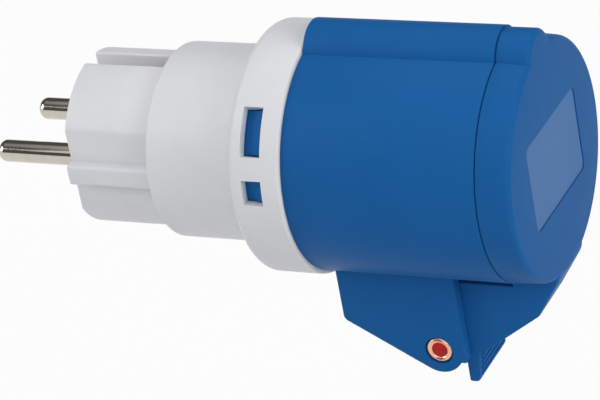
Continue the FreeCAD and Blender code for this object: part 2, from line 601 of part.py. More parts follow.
def make_socket_housing():
    """The blue housing: spigot, barrel, keyway ridge, base wall and hinge bracket."""
    body = new_body("socket_housing")
    revolve(body, outline(body, "outside", "XZ", [
        (SPIGOT_START, "0"), (SPIGOT_START, "spigot_radius"), (BARREL_START, "spigot_radius"),
        (BARREL_START, "barrel_radius"), (BARREL_END, "barrel_radius"), (BARREL_END, "lip_radius"),
        (LIP_END, "lip_radius"), (LIP_END, "0")]))
    pad(body, circles(body, "ridge", "YZ", [("0", "ridge_centre", "ridge_radius")], BARREL_START),
        "barrel_length")
    lean = "bracket_slope"
    tangent_x = f"(hinge_along - bracket_boss * sin({lean}))"
    tangent_z = f"({HINGE_Z} - bracket_boss * cos({lean}))"
    corner_z = f"({tangent_z} + ({tangent_x} - bracket_start) * tan({lean}))"
    foot_z = f"({HINGE_Z} - bracket_foot)"
    root_z = "(-barrel_radius + bracket_root)"
    pad(body, outline(body, "bracket", "XZ", [
        ("bracket_start", root_z), ("bracket_start", corner_z), (tangent_x, tangent_z),
        ("hinge_along", foot_z), ("bracket_end", foot_z), ("bracket_end", root_z)]),
        "2 * bracket_half_width", centred=True)
    pad(body, circles(body, "boss", "XZ", [("hinge_along", HINGE_Z, "bracket_boss")]),
        "2 * bracket_half_width", centred=True)
    depth = "(-hinge_drop - bracket_boss - 2)"
    web_end = "(web_start + web_thick)"
    pocket(body, outlines(body, "slots", "XZ", [
        box_corners("(bracket_start - 1)", depth, "web_start", "-slot_roof"),
        box_corners(web_end, depth, "(bracket_end + 1)", "-slot_roof")]),
        "2 * slot_half_width", centred=True)
    pocket(body, circles(body, "rivet_hole", "XZ", [
        ("hinge_along", HINGE_Z, "rivet_radius + rivet_play")]), "2 * bracket_half_width + 2", centred=True)
    floor = "(bracket_half_width - recess_depth)"
    for word, shift, forward in (("near", floor, False), ("far", f"(-{floor})", True)):
        pocket(body, circles(body, f"recess_{word}", "XZ", [
            ("hinge_along", HINGE_Z, "recess_radius")], shift), "recess_depth + 1", forward=not forward)
    pocket(body, circles(body, "anchor_hole", "YZ", [
        (f"(-{SPRING_SPREAD} / 2)", f"({HINGE_Z} + spring_radius)", "anchor_radius")], "(web_start - 1)"),
        "web_thick + 2", forward=True)
    groove(body, outline(body, "back_room", "XZ", box_corners(
        f"({SPIGOT_START} - 1)", "0", BASE_START, "spigot_bore")))
    groove(body, outline(body, "cavity", "XZ", box_corners(
        BASE_END, "0", f"({LIP_END} + 1)", "socket_bore")))
    pocket(body, outline(body, "keyway", "YZ", box_corners(
        "(-keyway_width / 2)", "(socket_bore - 4)", "(keyway_width / 2)", "keyway_top"), LIP_END),
        f"{LIP_END} - {BASE_END}")
    shank = "shank_radius + 3 * assembly_play"
    hole = "screw_shank + screw_room"
    pocket(body, circles(body, "base_holes", "YZ", [
        (*EARTH_AT, shank), (*LINE_AT, shank), (*NEUTRAL_AT, shank),
        ("screw_across", "screw_up", hole), ("-screw_across", "screw_up", hole)], BASE_END), "base_wall + 1")
    for side, word in ((1, "near"), (-1, "far")):
        latch(body, f"upper_latch_{word}", side, "upper_window_angle", "upper_window_span")
        latch(body, f"lower_latch_{word}", side, "lower_window_angle", "lower_window_span")
    return body


def make_contact_carrier():
    """The round insulator that holds the three contact sleeves."""
    body = new_body("contact_carrier")
    pad(body, circles(body, "disc", "YZ", [("0", "0", "carrier_radius")], CARRIER_START), "carrier_length")
    round_edges(body, "edge", "carrier_edge", ring_edge(CARRIER_END, "carrier_radius"))
    poles = ((LINE_AT, "pole_bore"), (NEUTRAL_AT, "pole_bore"), (EARTH_AT, "earth_bore"))
    pocket(body, circles(body, "entries", "YZ", [
        (*at, f"{bore} + entry_play") for at, bore in poles], CARRIER_END), "carrier_length + 1")
    pocket(body, circles(body, "sleeve_rooms", "YZ", [
        (*at, f"{bore} + sleeve_wall + sleeve_room") for at, bore in poles], CARRIER_START),
        "carrier_length - sleeve_setback + 2 * assembly_play", forward=True)
    pocket(body, circles(body, "flange_rooms", "YZ", [
        (*at, f"{bore} + sleeve_wall + flange_rise + flange_play") for at, bore in poles], CARRIER_START),
        "assembly_play + flange_thick + flange_play", forward=True)
    pocket(body, circles(body, "screw_holes", "YZ", [
        ("screw_across", "screw_up", "screw_shank + assembly_play"),
        ("-screw_across", "screw_up", "screw_shank + assembly_play")], CARRIER_START),
        "screw_length - base_wall + 1", forward=True)
    return body


def make_contact(label, at, bore, half_turn):
    """A slit contact sleeve with a flange and a screw terminal at its rear."""
    body = new_body(label, y=at[0], z=at[1])
    if half_turn:
        body.Placement.Rotation = FreeCAD.Rotation(FreeCAD.Vector(1, 0, 0), 180)
    outer = f"({bore} + sleeve_wall)"
    flange_start = f"({CARRIER_START} + assembly_play)"
    flange_end = f"({flange_start} + flange_thick)"
    revolve(body, outline(body, "profile", "XZ", [
        (SHANK_START, "0"), (SHANK_START, "shank_radius"), (flange_start, "shank_radius"),
        (flange_start, f"({outer} + flange_rise)"), (flange_end, f"({outer} + flange_rise)"),
        (flange_end, outer), (SLEEVE_END, outer), (SLEEVE_END, "0")]))
    pocket(body, circles(body, "bore", "YZ", [("0", "0", bore)], SLEEVE_END), "bore_depth")
    pocket(body, circles(body, "wire_hole", "YZ", [("0", "0", "wire_bore")], SHANK_START),
           "wire_bore_depth", forward=True)
    pocket(body, circles(body, "screw_hole", "XY", [
        (f"({SHANK_START} + rear_grub_setback)", "0", "grub_radius + assembly_play")]),
        "shank_radius + 1", forward=True)
    pocket(body, outline(body, "slits", "XZ", box_corners(
        f"({SLEEVE_END} - slit_length)", "(-sleeve_slit / 2)", f"({SLEEVE_END} + 1)", "(sleeve_slit / 2)")),
        f"2 * {outer} + 2", centred=True)
    return body


def make_clip(label, at, bore):
    """An open spring ring that squeezes a contact sleeve."""
    body = new_body(label, y=at[0], z=at[1])
    inner = f"({bore} + sleeve_wall + assembly_play)"
    end = f"({SLEEVE_END} - clip_setback)"
    revolve(body, outline(body, "profile", "XZ", box_corners(
        f"({end} - clip_width)", inner, end, f"({inner} + clip_thick)")), angle="clip_span")
    return body


def make_grub(label, along, at, half_turn):
    """A slotted terminal screw, its tip towards the wire."""
    body = new_body(label, along, at[0], at[1])
    if half_turn:
        body.Placement.Rotation = FreeCAD.Rotation(FreeCAD.Vector(1, 0, 0), 180)
    tip = "(ferrule_radius + assembly_play)"
    top = f"({tip} + grub_length)"
    revolve(body, outline(body, "profile", "XZ", box_corners("0", tip, "grub_radius", top)), axis="V_Axis")
    half = "(slot_width / 2)"
    pocket(body, outline(body, "slot", "XZ", box_corners(
        f"(-{half})", f"({top} - slot_depth)", half, f"({top} + 1)")), "2 * grub_radius + 1", centred=True)
    return body


def make_carrier_screw(label, across):
    """A slotted screw that holds the contact carrier to the base wall."""
    body = new_body(label, y=across, z="screw_up")
    seat = f"({BASE_START} - assembly_play)"
    back = f"({seat} - screw_head_thick)"
    revolve(body, outline(body, "profile", "XZ", [
        (back, "0"), (back, "screw_head"), (seat, "screw_head"), (seat, "screw_shank"),
        (f"({seat} + screw_length)", "screw_shank"), (f"({seat} + screw_length)", "0")]))
    pocket(body, outline(body, "slot", "XZ", box_corners(
        f"({back} - 1)", "(-slot_width / 2)", f"({back} + slot_depth)", "(slot_width / 2)")),
        "2 * screw_head + 1", centred=True)
    return body


def make_ferrule(label, mouth, at, to_rear):
    """A crimped wire end: its tube fills the terminal and its collar stands outside."""
    body = new_body(label, mouth, at[0], at[1])
    way = "-1" if to_rear else "1"
    tube = f"({way} * -ferrule_length)"
    collar = f"({way} * assembly_play)"
    end = f"({way} * (assembly_play + ferrule_collar_length))"
    revolve(body, outline(body, "profile", "XZ", [
        (tube, "0"), (tube, "ferrule_radius"), (collar, "ferrule_radius"), (collar, "ferrule_collar"),
        (end, "ferrule_collar"), (end, "0")]))
    return body


def rounded_path(points):
    """Straight runs joined by tangent arcs, each as large as its two runs allow."""
    edges = []
    start = points[0]
    for before, corner, after in zip(points, points[1:], points[2:]):
        arriving = (corner - before).normalize()
        leaving = (after - corner).normalize()
        half_turn = arriving.getAngle(leaving) / 2
        reach = 0.45 * min(corner.distanceToPoint(before), corner.distanceToPoint(after))
        first = corner - arriving * reach
        last = corner + leaving * reach
        radius = reach / math.tan(half_turn)
        inward = (leaving - arriving).normalize()
        middle = corner + inward * (radius / math.cos(half_turn) - radius)
        edges.append(Part.LineSegment(start, first).toShape())
        edges.append(Part.Arc(first, middle, last).toShape())
        start = last
        print(f"  bend radius {radius:.1f}")
    edges.append(Part.LineSegment(start, points[-1]).toShape())
    return Part.Wire(edges)


def sweep(path, radius, start, direction):
    section = Part.Wire(Part.makeCircle(radius, start, direction))
    solid = path.makePipeShell([section], True, False)
    expected = math.pi * radius ** 2 * path.Length
    print(f"  tube volume {solid.Volume:.2f}, section times length {expected:.2f}")
    return solid


def make_wire(label, start, end, bow):
    """An insulated wire between two ferrules, with a slack bend in the middle."""
    lead = value("wire_lead")
    ahead = FreeCAD.Vector(lead, 0, 0)
    first = start + ahead
    last = end - ahead
    middle = (first + last) / 2 + bow
    points = [start, first, middle, last, end] if bow.Length > 0 else [start, first, last, end]
    print(label)
    path = rounded_path(points)
    solid = sweep(path, value("wire_radius"), start, FreeCAD.Vector(1, 0, 0))
    feature = doc.addObject("Part::Feature", label)
    feature.Label = label
    feature.Shape = solid
    return feature


def make_rivet():
    """The tubular hinge rivet, with a head turned over at each end."""
    body = new_body("hinge_rivet", "hinge_along", "0", HINGE_Z)
    seat = "(bracket_half_width - recess_depth + rivet_play)"
    end = f"({seat} + rivet_head_thick)"
    floor = f"({end} - rivet_bore_depth)"
    revolve(body, outline(body, "profile", "XY", [
        ("0", f"-{floor}"), ("rivet_bore", f"-{floor}"), ("rivet_bore", f"-{end}"),
        ("rivet_head", f"-{end}"), ("rivet_head", f"-{seat}"), ("rivet_radius", f"-{seat}"),
        ("rivet_radius", seat), ("rivet_head", seat), ("rivet_head", end), ("rivet_bore", end),
        ("rivet_bore", floor), ("0", floor)]), axis="V_Axis")
    return body


def make_lid_ridge():
    """The keyway ridge's end on the lid, rounded like the lid's front edge."""
    body = new_body("lid_ridge")
    pad(body, circles(body, "profile", "YZ", [("0", "ridge_centre", "lid_ridge_radius")], LID_START),
        "lid_depth")
    face = value(LID_FACE)

    def end_edge(edge):
        return abs(edge.BoundBox.XMin - face) < NEAR

    round_edges(body, "end", "lid_round", end_edge)
    return body


def make_lid_arm():
    """The lid's hinge arm and finger tab, still solid, its front flush with the lid's face."""
    body = new_body("lid_arm")
    nose_z = "(-arm_nose_drop)"
    root_x = "(hinge_along + tab_front)"
    root_z = f"({nose_z} - ({ARM_NOSE_X} - {root_x}) * tan(arm_under_rise))"
    tab_back_x = "(hinge_along + tab_back)"
    front_z = "(-arm_front_start)"
    lap_z = "(-arm_front_start + arm_lap)"
    pad(body, outline(body, "profile", "XZ", [
        (LID_FACE, lap_z), (LID_FACE, front_z), (ARM_NOSE_X, nose_z), (root_x, root_z),
        (f"({root_x} - tab_taper)", TAB_TIP_Z), (tab_back_x, TAB_TIP_Z),
        (tab_back_x, f"({HINGE_Z} - knuckle_radius + 0.2)"), ("hinge_along", HINGE_Z),
        ("(hinge_along - knuckle_radius + 1)", HINGE_Z), ("(hinge_along + arm_back)", "(-arm_roof)"),
        (LID_START, "(-arm_roof)"), (LID_START, lap_z)]), "2 * arm_half_width", centred=True)
    side, nose_x, low, high = (value(t) for t in ("arm_half_width", ARM_NOSE_X, nose_z, lap_z))

    def front_edge(edge):
        box = edge.BoundBox
        level = abs(abs(edge.CenterOfMass.y) - side) < NEAR and box.YLength < NEAR
        return level and box.XMin > nose_x - NEAR and low - NEAR < box.ZMin and box.ZMax < high + NEAR

    round_edges(body, "front_edges", "arm_edge", front_edge)
    return body


def make_lid():
    """The flap lid: disc, skirt, ridge end, plain panel, hinge arm and finger tab."""
    body = new_body("lid")
    revolve(body, outline(body, "disc", "XZ", [
        (LID_START, "0"), (LID_START, "lid_radius"), (LID_FACE, "lid_front_radius"), (LID_FACE, "0")]))
    round_edges(body, "front_edge", "lid_round", ring_edge(LID_FACE, "lid_front_radius"))
    fuse(body, make_lid_ridge())
    fuse(body, make_lid_arm())
    nose_z = "(-arm_nose_drop)"
    tab_back_x = "(hinge_along + tab_back)"
    pad(body, circles(body, "knuckle", "XZ", [("hinge_along", HINGE_Z, "knuckle_radius")]),
        "2 * arm_half_width", centred=True)
    share = "(1 + sin(arm_front_lean + arm_under_rise))"
    inner_x = f"({ARM_NOSE_X} - arm_skin * (cos(arm_front_lean) + sin(arm_under_rise)) / {share})"
    inner_z = f"({nose_z} + arm_skin * (sin(arm_front_lean) + cos(arm_under_rise)) / {share})"
    ceiling = "(-arm_roof - arm_top_skin)"
    upper_x = f"({inner_x} + ({ceiling} - {inner_z}) * tan(arm_front_lean))"
    lower_z = f"({inner_z} - ({inner_x} - {tab_back_x}) * tan(arm_under_rise))"
    below = f"({TAB_TIP_Z} - 1)"
    behind = "(hinge_along - knuckle_radius - 1)"
    disc_back = f"({LID_START} - joint_gap / 2)"
    pocket(body, outline(body, "channel", "XZ", [
        (behind, "(-barrel_radius)"), (disc_back, "(-barrel_radius)"), (disc_back, ceiling),
        (upper_x, ceiling), (inner_x, inner_z), (tab_back_x, lower_z), (tab_back_x, below),
        (behind, below)]), "2 * arm_channel", centred=True)
    groove(body, outline(body, "inside", "XZ", box_corners(
        f"({LID_START} - 1)", "0", LID_INSIDE, "lid_bore")))
    rib = "(gasket_inner - gasket_rib_play)"
    revolve(body, outline(body, "gasket_rib", "XZ", box_corners(
        f"({LID_INSIDE} - gasket_rib_length)", f"({rib} - gasket_rib)", f"({LID_INSIDE} + 0.2)", rib)))
    pocket(body, circles(body, "rivet_hole", "XZ", [
        ("hinge_along", HINGE_Z, "rivet_radius + hinge_play")]), "2 * arm_half_width + 2", centred=True)
    pocket(body, outline(body, "panel", "YZ", box_corners(
        "(-panel_width / 2)", "(-panel_height / 2)", "(panel_width / 2)", "(panel_height / 2)"), LID_FACE),
        "panel_depth")
    across, up = value("panel_width / 2"), value("panel_height / 2")

    def panel_corner(edge):
        middle = edge.CenterOfMass
        return abs(abs(middle.y) - across) < NEAR and abs(abs(middle.z) - up) < NEAR

    round_edges(body, "panel_corners", "panel_corner", panel_corner)
    tip = value(TAB_TIP_Z)
    end_x = (value(tab_back_x), value("hinge_along + tab_front - tab_taper"))

    def tab_edge(edge):
        middle = edge.CenterOfMass
        return abs(middle.z - tip) < NEAR and min(abs(middle.x - x) for x in end_x) < NEAR

    round_edges(body, "tab_end", "tab_round", tab_edge)
    return body


def make_lid_gasket():
    """The soft ring in the lid that closes on the barrel's lip."""
    body = new_body("lid_gasket")
    start = f"({LIP_END} + gasket_play)"
    end = f"({LID_INSIDE} - assembly_play)"
    revolve(body, outline(body, "profile", "XZ", box_corners(start, "gasket_inner", end, "gasket_outer")))
    return body


def biarc(start, start_way, end, end_way):
    """Two tangent arcs from one point and direction to another."""
    chord = end - start
    ways = start_way + end_way
    # The reach solves |chord - reach * ways| = 2 * reach.
    a = ways.dot(ways) - 4
    b = -2 * chord.dot(ways)
    c = chord.dot(chord)
    reach = (-b - math.sqrt(b * b - 4 * a * c)) / (2 * a)
    near = start + start_way * reach
    far = end - end_way * reach
    joint = (near + far) / 2

    def arc(first, corner, last):
        middle = (first + last) / 2
        half = middle.distanceToPoint(first)
        height = middle.distanceToPoint(corner)
        angle = math.atan2(height, half)
        rise = half * math.tan(angle / 2)
        return Part.Arc(first, middle + (corner - middle).normalize() * rise, last).toShape()

    return [arc(start, near, joint), arc(joint, far, end)]


def make_lid_spring():
    """The torsion spring round the rivet: one leg in the bracket's web, one on the tab."""
    radius, pitch = value("spring_radius"), value("spring_pitch")
    spread = value(SPRING_SPREAD)
    quarters = int(round(4 * value("spring_turns"))) + 1
    step = math.pi / 2

    def at(angle):
        across = -spread / 2 + pitch * angle / (2 * math.pi)
        return FreeCAD.Vector(radius * math.sin(angle), across, radius * math.cos(angle))

    def way(angle):
        slope = pitch / (2 * math.pi)
        return FreeCAD.Vector(radius * math.cos(angle), slope, -radius * math.sin(angle)).normalize()

    leg_start = FreeCAD.Vector(value("-web_setback - leg_out"), at(0).y, radius)
    edges = [Part.LineSegment(leg_start, at(0)).toShape()]
    ways = [FreeCAD.Vector(1, 0, 0)]
    ways += [way(step * k) for k in range(1, quarters)]
    ways.append(FreeCAD.Vector(0, 0, -1))
    for k in range(quarters):
        edges.extend(biarc(at(step * k), ways[k], at(step * (k + 1)), ways[k + 1]))
    last = at(step * quarters)
    edges.append(Part.LineSegment(last, last - FreeCAD.Vector(0, 0, value("spring_leg"))).toShape())
    path = Part.Wire(edges)
    print("lid_spring")
    solid = sweep(path, value("spring_wire"), leg_start, FreeCAD.Vector(1, 0, 0))
    samples = [at(2 * math.pi * k / 48) for k in range(12 * quarters + 1)]
    least = min(p.distanceToPoint(q) for k, p in enumerate(samples) for q in samples[k + 36:])
    print(f"  least gap between turns {least - 2 * value('spring_wire'):.2f}")
    feature = doc.addObject("Part::Feature", "lid_spring")
    feature.Label = "lid_spring"
    feature.Shape = solid
    feature.Placement.Base = FreeCAD.Vector(value("hinge_along"), 0, value(HINGE_Z))
    return feature


def make_wiring():
    """The ferrules, the terminal screws and the three wires."""
    head_end = f"({BRIDGE_BACK} + assembly_play + head_length)"
    pillar_end = f"({PILLAR_START} + pillar_length)"
    fronts = {
        "line": (head_end, (LINE_PIN_Y, "0")),
        "neutral": (head_end, (NEUTRAL_PIN_Y, "0")),
        "earth": (pillar_end, ("0", "0")),
    }
    rears = {"line": LINE_AT, "neutral": NEUTRAL_AT, "earth": EARTH_AT}
    bows = {
        "line": FreeCAD.Vector(0, -value("wire_bow"), 0),
        "neutral": FreeCAD.Vector(0, value("wire_bow"), 0),
        "earth": FreeCAD.Vector(),
    }
    screws, ferrules, wires = [], [], []
    clear = value("assembly_play + ferrule_collar_length + assembly_play")
    for pole, (mouth, at) in fronts.items():
        rear = rears[pole]
        screws.append(make_grub(f"{pole}_front_screw", f"({mouth} - grub_setback)", at, False))
        screws.append(make_grub(
            f"{pole}_rear_screw", f"({SHANK_START} + rear_grub_setback)", rear, pole != "earth"))
        ferrules.append(make_ferrule(f"{pole}_front_ferrule", mouth, at, False))
        ferrules.append(make_ferrule(f"{pole}_rear_ferrule", SHANK_START, rear, True))
        start = FreeCAD.Vector(value(mouth) + clear, value(at[0]), value(at[1]))
        end = FreeCAD.Vector(value(SHANK_START) - clear, value(rear[0]), value(rear[1]))
        wires.append(make_wire(f"{pole}_wire", start, end, bows[pole]))
    return [group("terminal_screws", screws), group("wire_ferrules", ferrules)] + wires


def make_all():
    pieces = [
        make_pin("line_pin", LINE_PIN_Y),
        make_pin("neutral_pin", NEUTRAL_PIN_Y),
        make_pin_bridge(),
        make_earth_strap(),
        make_earth_terminal(),
        make_plug_housing(),
        make_housing_seal(),
        make_socket_housing(),
        make_contact_carrier(),
        make_contact("line_contact", LINE_AT, "pole_bore", True),
        make_contact("neutral_contact", NEUTRAL_AT, "pole_bore", True),
        make_contact("earth_contact", EARTH_AT, "earth_bore", False),
        group("contact_clips", [
            make_clip("line_clip", LINE_AT, "pole_bore"), make_clip("neutral_clip", NEUTRAL_AT, "pole_bore"),
            make_clip("earth_clip", EARTH_AT, "earth_bore")]),
        group("carrier_screws", [
            make_carrier_screw("left_carrier_screw", "-screw_across"),
            make_carrier_screw("right_carrier_screw", "screw_across")]),
        make_rivet(),
        make_lid(),
        make_lid_gasket(),
        make_lid_spring(),
    ]
    return pieces + make_wiring()


def check_all(pieces):
    for item in doc.Objects:
        if "Invalid" in item.State or "Error" in item.State:
            raise RuntimeError(f"{item.Label} failed: {item.State}")
    for piece in pieces:
        if piece.Shape.isNull() or not piece.Shape.isValid():
            raise RuntimeError(f"{piece.Label} has no valid shape")


def export_all(pieces):
    os.makedirs("parts", exist_ok=True)
    for piece in pieces:
        box = piece.Shape.BoundBox
        print(f"{piece.Label}: {len(piece.Shape.Solids)} solids, {piece.Shape.Volume:.1f} mm3, "
              f"X {box.XMin:.2f} to {box.XMax:.2f}, Z {box.ZMin:.2f} to {box.ZMax:.2f}")
        piece.Shape.exportStep(f"parts/{piece.Label}.step")


fill_sheet()
PIECES = make_all()
doc.recompute()
check_all(PIECES)
export_all(PIECES)
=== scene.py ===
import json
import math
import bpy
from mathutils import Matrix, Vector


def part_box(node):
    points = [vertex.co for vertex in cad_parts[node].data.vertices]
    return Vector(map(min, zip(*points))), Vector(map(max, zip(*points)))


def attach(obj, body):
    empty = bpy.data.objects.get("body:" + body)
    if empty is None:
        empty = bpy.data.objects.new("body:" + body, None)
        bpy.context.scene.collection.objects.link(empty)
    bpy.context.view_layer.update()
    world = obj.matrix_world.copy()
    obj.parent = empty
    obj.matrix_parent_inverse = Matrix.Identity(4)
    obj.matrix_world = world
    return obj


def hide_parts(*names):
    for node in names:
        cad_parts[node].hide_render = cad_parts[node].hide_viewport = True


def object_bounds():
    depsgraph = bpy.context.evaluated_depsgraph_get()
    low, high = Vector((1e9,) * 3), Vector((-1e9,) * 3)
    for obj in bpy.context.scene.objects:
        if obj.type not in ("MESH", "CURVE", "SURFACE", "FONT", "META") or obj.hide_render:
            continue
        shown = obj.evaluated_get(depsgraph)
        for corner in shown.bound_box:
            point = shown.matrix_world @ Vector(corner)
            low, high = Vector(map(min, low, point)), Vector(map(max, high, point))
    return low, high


bl_info = {
    "name": "Mains adapter",
    "version": (1, 0, 0),
    "blender": (4, 5, 0),
    "location": "View3D > Sidebar > Adapter",
    "description": "Builds a plug-in mains adapter with a hinged lid around its packed frame",
    "category": "Object",
}

from types import SimpleNamespace

import bmesh
import bpy
from mathutils import Vector

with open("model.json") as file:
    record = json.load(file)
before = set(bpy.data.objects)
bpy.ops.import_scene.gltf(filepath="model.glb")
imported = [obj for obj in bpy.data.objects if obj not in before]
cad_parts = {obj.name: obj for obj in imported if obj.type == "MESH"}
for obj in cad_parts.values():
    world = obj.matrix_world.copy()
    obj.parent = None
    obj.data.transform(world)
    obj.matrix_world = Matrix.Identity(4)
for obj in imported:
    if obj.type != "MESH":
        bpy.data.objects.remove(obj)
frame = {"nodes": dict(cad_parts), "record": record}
CAD_LOW, CAD_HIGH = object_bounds()
MM = 0.001

PLUG_LOW, PLUG_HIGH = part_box("plug_housing")
SOCKET_LOW, SOCKET_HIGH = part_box("socket_housing")
LID_LOW, LID_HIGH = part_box("lid")
RIVET_LOW, RIVET_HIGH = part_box("hinge_rivet")
HINGE = (RIVET_LOW + RIVET_HIGH) / 2

ROUND_STEPS = 192
FULL_TURN = 2 * math.pi
SMOOTH_ANGLE = math.radians(32)
MERGE_DISTANCE = 0.002 * MM

# Millimetres
NEAR = 0.01  # two places this near count as the same
HAIR = 0.02  # keeps two faces from lying in each other
SMALL_LAP = 0.2
LAP = 0.5  # a solid reaches this far into the one that it joins
PAST = 1.0  # a cutter reaches this far past what it cuts

# Sizes that no setting changes, in millimetres. Those of the pins that start or end something are
# counted from the plug's face, and a grip rib's place is a share of the finger tab's front.
FIXED = {
    "plug": dict(
        flat_distance=16, rib_half=2.25, channel_half=2.25, channel_floor=14.6, neck_rim=0.7, nose_soft=0.15,
        nose_edge=0.5, neck_foot=0.5, collar_rim=0.6, nose_bore=13.6, neck_bore=18.4, neck_wall=2.2,
        collar_bore=24.4, collar_wall=2, mouth_depth=3, mouth_play=0.1, strap_slot=1.05, strap_reach=3),
    "pins": dict(
        block_edge=0.4, flange_start=5.3, flange_end=8.3, flange_radius=13.4, post_radius=3.6, post_end=24.9,
        stud_start=17, pin_hole=2.75, pin_radius=2.4, shank_start=0.3, shank_radius=2.7, terminal_start=8.4,
        terminal_radius=3.4, wire_hole=1.3, wire_depth=8, screw_hole=1.55, screw_back=4.2, screw_reach=6),
    "socket": dict(
        ridge_radius=6.5, ridge_centre=22.8, keyway_top=24.9, spigot_bore=22, base_start=57.3, base_end=60.3,
        lip_radius=23.2, rear_edge=0.15, front_edge=0.2, ridge_edge=0.4, keyway_reach=4, contact_hole=3.75,
        screw_hole=1.6, screw_across=12, screw_up=6.5, latch_play=0.3, latch_flat=0.6, latch_foot=0.1),
    "hinge": dict(
        bracket_start=55.95, bracket_end=82.45, boss_radius=5.28, arm_nose=33.1, tab_front=7.7, tab_back=4.55,
        bracket_foot=2.65, slot_roof=25.75, recess_radius=3.1, arm_roof=26.2, arm_lap=2.5, arm_shoulder=3.2,
        tab_taper=0.8, bracket_root=21.5, bracket_edge=0.8, soft_edge=0.3, web_start=63.5, web_end=66,
        rivet_hole=2.15, recess_depth=0.7, spring_hole=0.65, spring_up=3.9, spring_in=0.45, arm_back=4.4,
        arm_skin=2.4, arm_top_skin=1, arm_top_reach=0.1, arm_channel=5.2, arm_saddle=25.65, channel_top=25.5,
        pin_hole=2.18, tab_front_edge=1, tab_back_edge=0.4, grip_radius=0.35, grip_inset=1, grip_ribs=4,
        grip_first=0.15, grip_step=0.2),
    "lid": dict(
        ridge_radius=6.1, bore=24, plate=2.2, rear_edge=0.2, panel_depth=0.3, gasket_bore=21.4,
        gasket_play=0.1, gasket_rib=1, gasket_rib_height=2.8),
}
LATCH_NARROWING = math.radians(2)

# The rivet's end as (distance back from its outermost point, radius), and its lacquer's radius
RIVET_END = (
    (0.12, 0), (0.18, 0.9), (0.3, 1.72), (0.12, 1.92), (0, 2.2), (0.1, 2.6), (0.35, 2.85), (0.6, 2.8),
    (0.6, 2.1))
SEALED_RADIUS = 1.75

# Each lamp's name, place, edge length and power, in metres and watts
LAMPS = (
    ("Top lamp", (0.0, 0.35, 1.0), 0.9, 3.4),
    ("Key lamp", (-0.25, -0.7, 0.9), 0.8, 1.6),
    ("Front lamp", (0.45, -0.85, 0.5), 0.8, 2.7),
    ("Lid lamp", (0.9, -0.2, 0.35), 0.5, 3.9),
    ("Side lamp", (-0.9, -0.4, 0.4), 0.6, 4.1),
)

# Dark walls under a bright ceiling give round metal its bands. The heights are those of a
# direction, and straight up is 1.
WALL_LIGHT = 0.1
WALL_TOP = 0.75
CEILING_LIGHT = 0.71
CEILING_START = 0.92

# The floor in metres, and how much of it the camera sees as a white glow
FLOOR_RADIUS = 3
FLOOR_RIM = 0.3
FLOOR_GLOW = 0.94

# The camera's sensor in millimetres and its clip distances in metres
SENSOR_WIDTH = 36
CLIP = (0.01, 20)


# Colours and sizes that a user would change


def linear(hex_colour):
    """The linear colour of an sRGB hex value."""
    parts = [int(hex_colour[k:k + 2], 16) / 255 for k in (1, 3, 5)]
    return [p / 12.92 if p <= 0.04045 else ((p + 0.055) / 1.055) ** 2.4 for p in parts] + [1.0]


def length(name, millimetres, description):
    """A length property, given in millimetres."""
    return bpy.props.FloatProperty(
        name=name, description=description, default=millimetres * MM, subtype="DISTANCE", precision=5)


def angle(name, degrees, description):
    """An angle property, given in degrees."""
    return bpy.props.FloatProperty(
        name=name, description=description, default=math.radians(degrees), subtype="ANGLE")


def colour(name, hex_colour, description):
    """A colour property, given as an sRGB hex value."""
    return bpy.props.FloatVectorProperty(
        name=name, description=description, size=4, subtype="COLOR", min=0, max=1,
        default=linear(hex_colour))


class ADAPTER_PG_plug(bpy.types.PropertyGroup):
    """Sizes of the white plug half."""
    nose_radius: length("Nose radius", 18.5, "Radius of the round plug nose")
    nose_end: length("Nose end", 22.1, "Where the nose meets the neck")
    neck_radius: length("Neck radius", 20.6, "Radius of the neck")
    neck_end: length("Neck end", 43.8, "Where the neck meets the collar")
    collar_radius: length("Collar radius", PLUG_HIGH.y / MM, "Radius of the collar")
    shoulder: length("Shoulder rounding", 1.8, "Rounding of the collar's shoulder")
    window_start: length("Window start", 46.9, "Edge of the latch windows towards the plug")
    window_length: length("Window length", 4.4, "Length of a latch window")
    upper_window: angle("Wide window", 34.6, "Middle of a wide window above the side")
    upper_span: angle("Wide window span", 22.4, "Span of a wide window")
    lower_window: angle("Narrow window", 7.0, "Middle of a narrow window above the side")
    lower_span: angle("Narrow window span", 11.6, "Span of a narrow window")


class ADAPTER_PG_pins(bpy.types.PropertyGroup):
    """Sizes of the pins and their block."""
    block_radius: length("Block radius", 12.8, "Radius of the block in the nose's mouth")
    tip_rounding: length("Tip rounding", 1.9, "Rounding of a pin's end")


class ADAPTER_PG_socket(bpy.types.PropertyGroup):
    """Sizes of the blue socket half."""
    barrel_radius: length("Barrel radius", 25.5, "Radius of the barrel")
    barrel_start: length("Barrel start", 55.5, "Edge of the barrel towards the plug")
    barrel_end: length("Barrel end", 97.3, "Edge of the barrel towards the lid")
    spigot_radius: length("Spigot radius", 24.2, "Radius of the spigot in the collar")
    bore: length("Socket bore", 22.4, "Radius of the cavity for the mating plug")
    keyway_half: length("Keyway half width", 3.8, "Half width of the keyway")
    latch_height: length("Latch height", 1.3, "How far a latch stands out of the spigot")


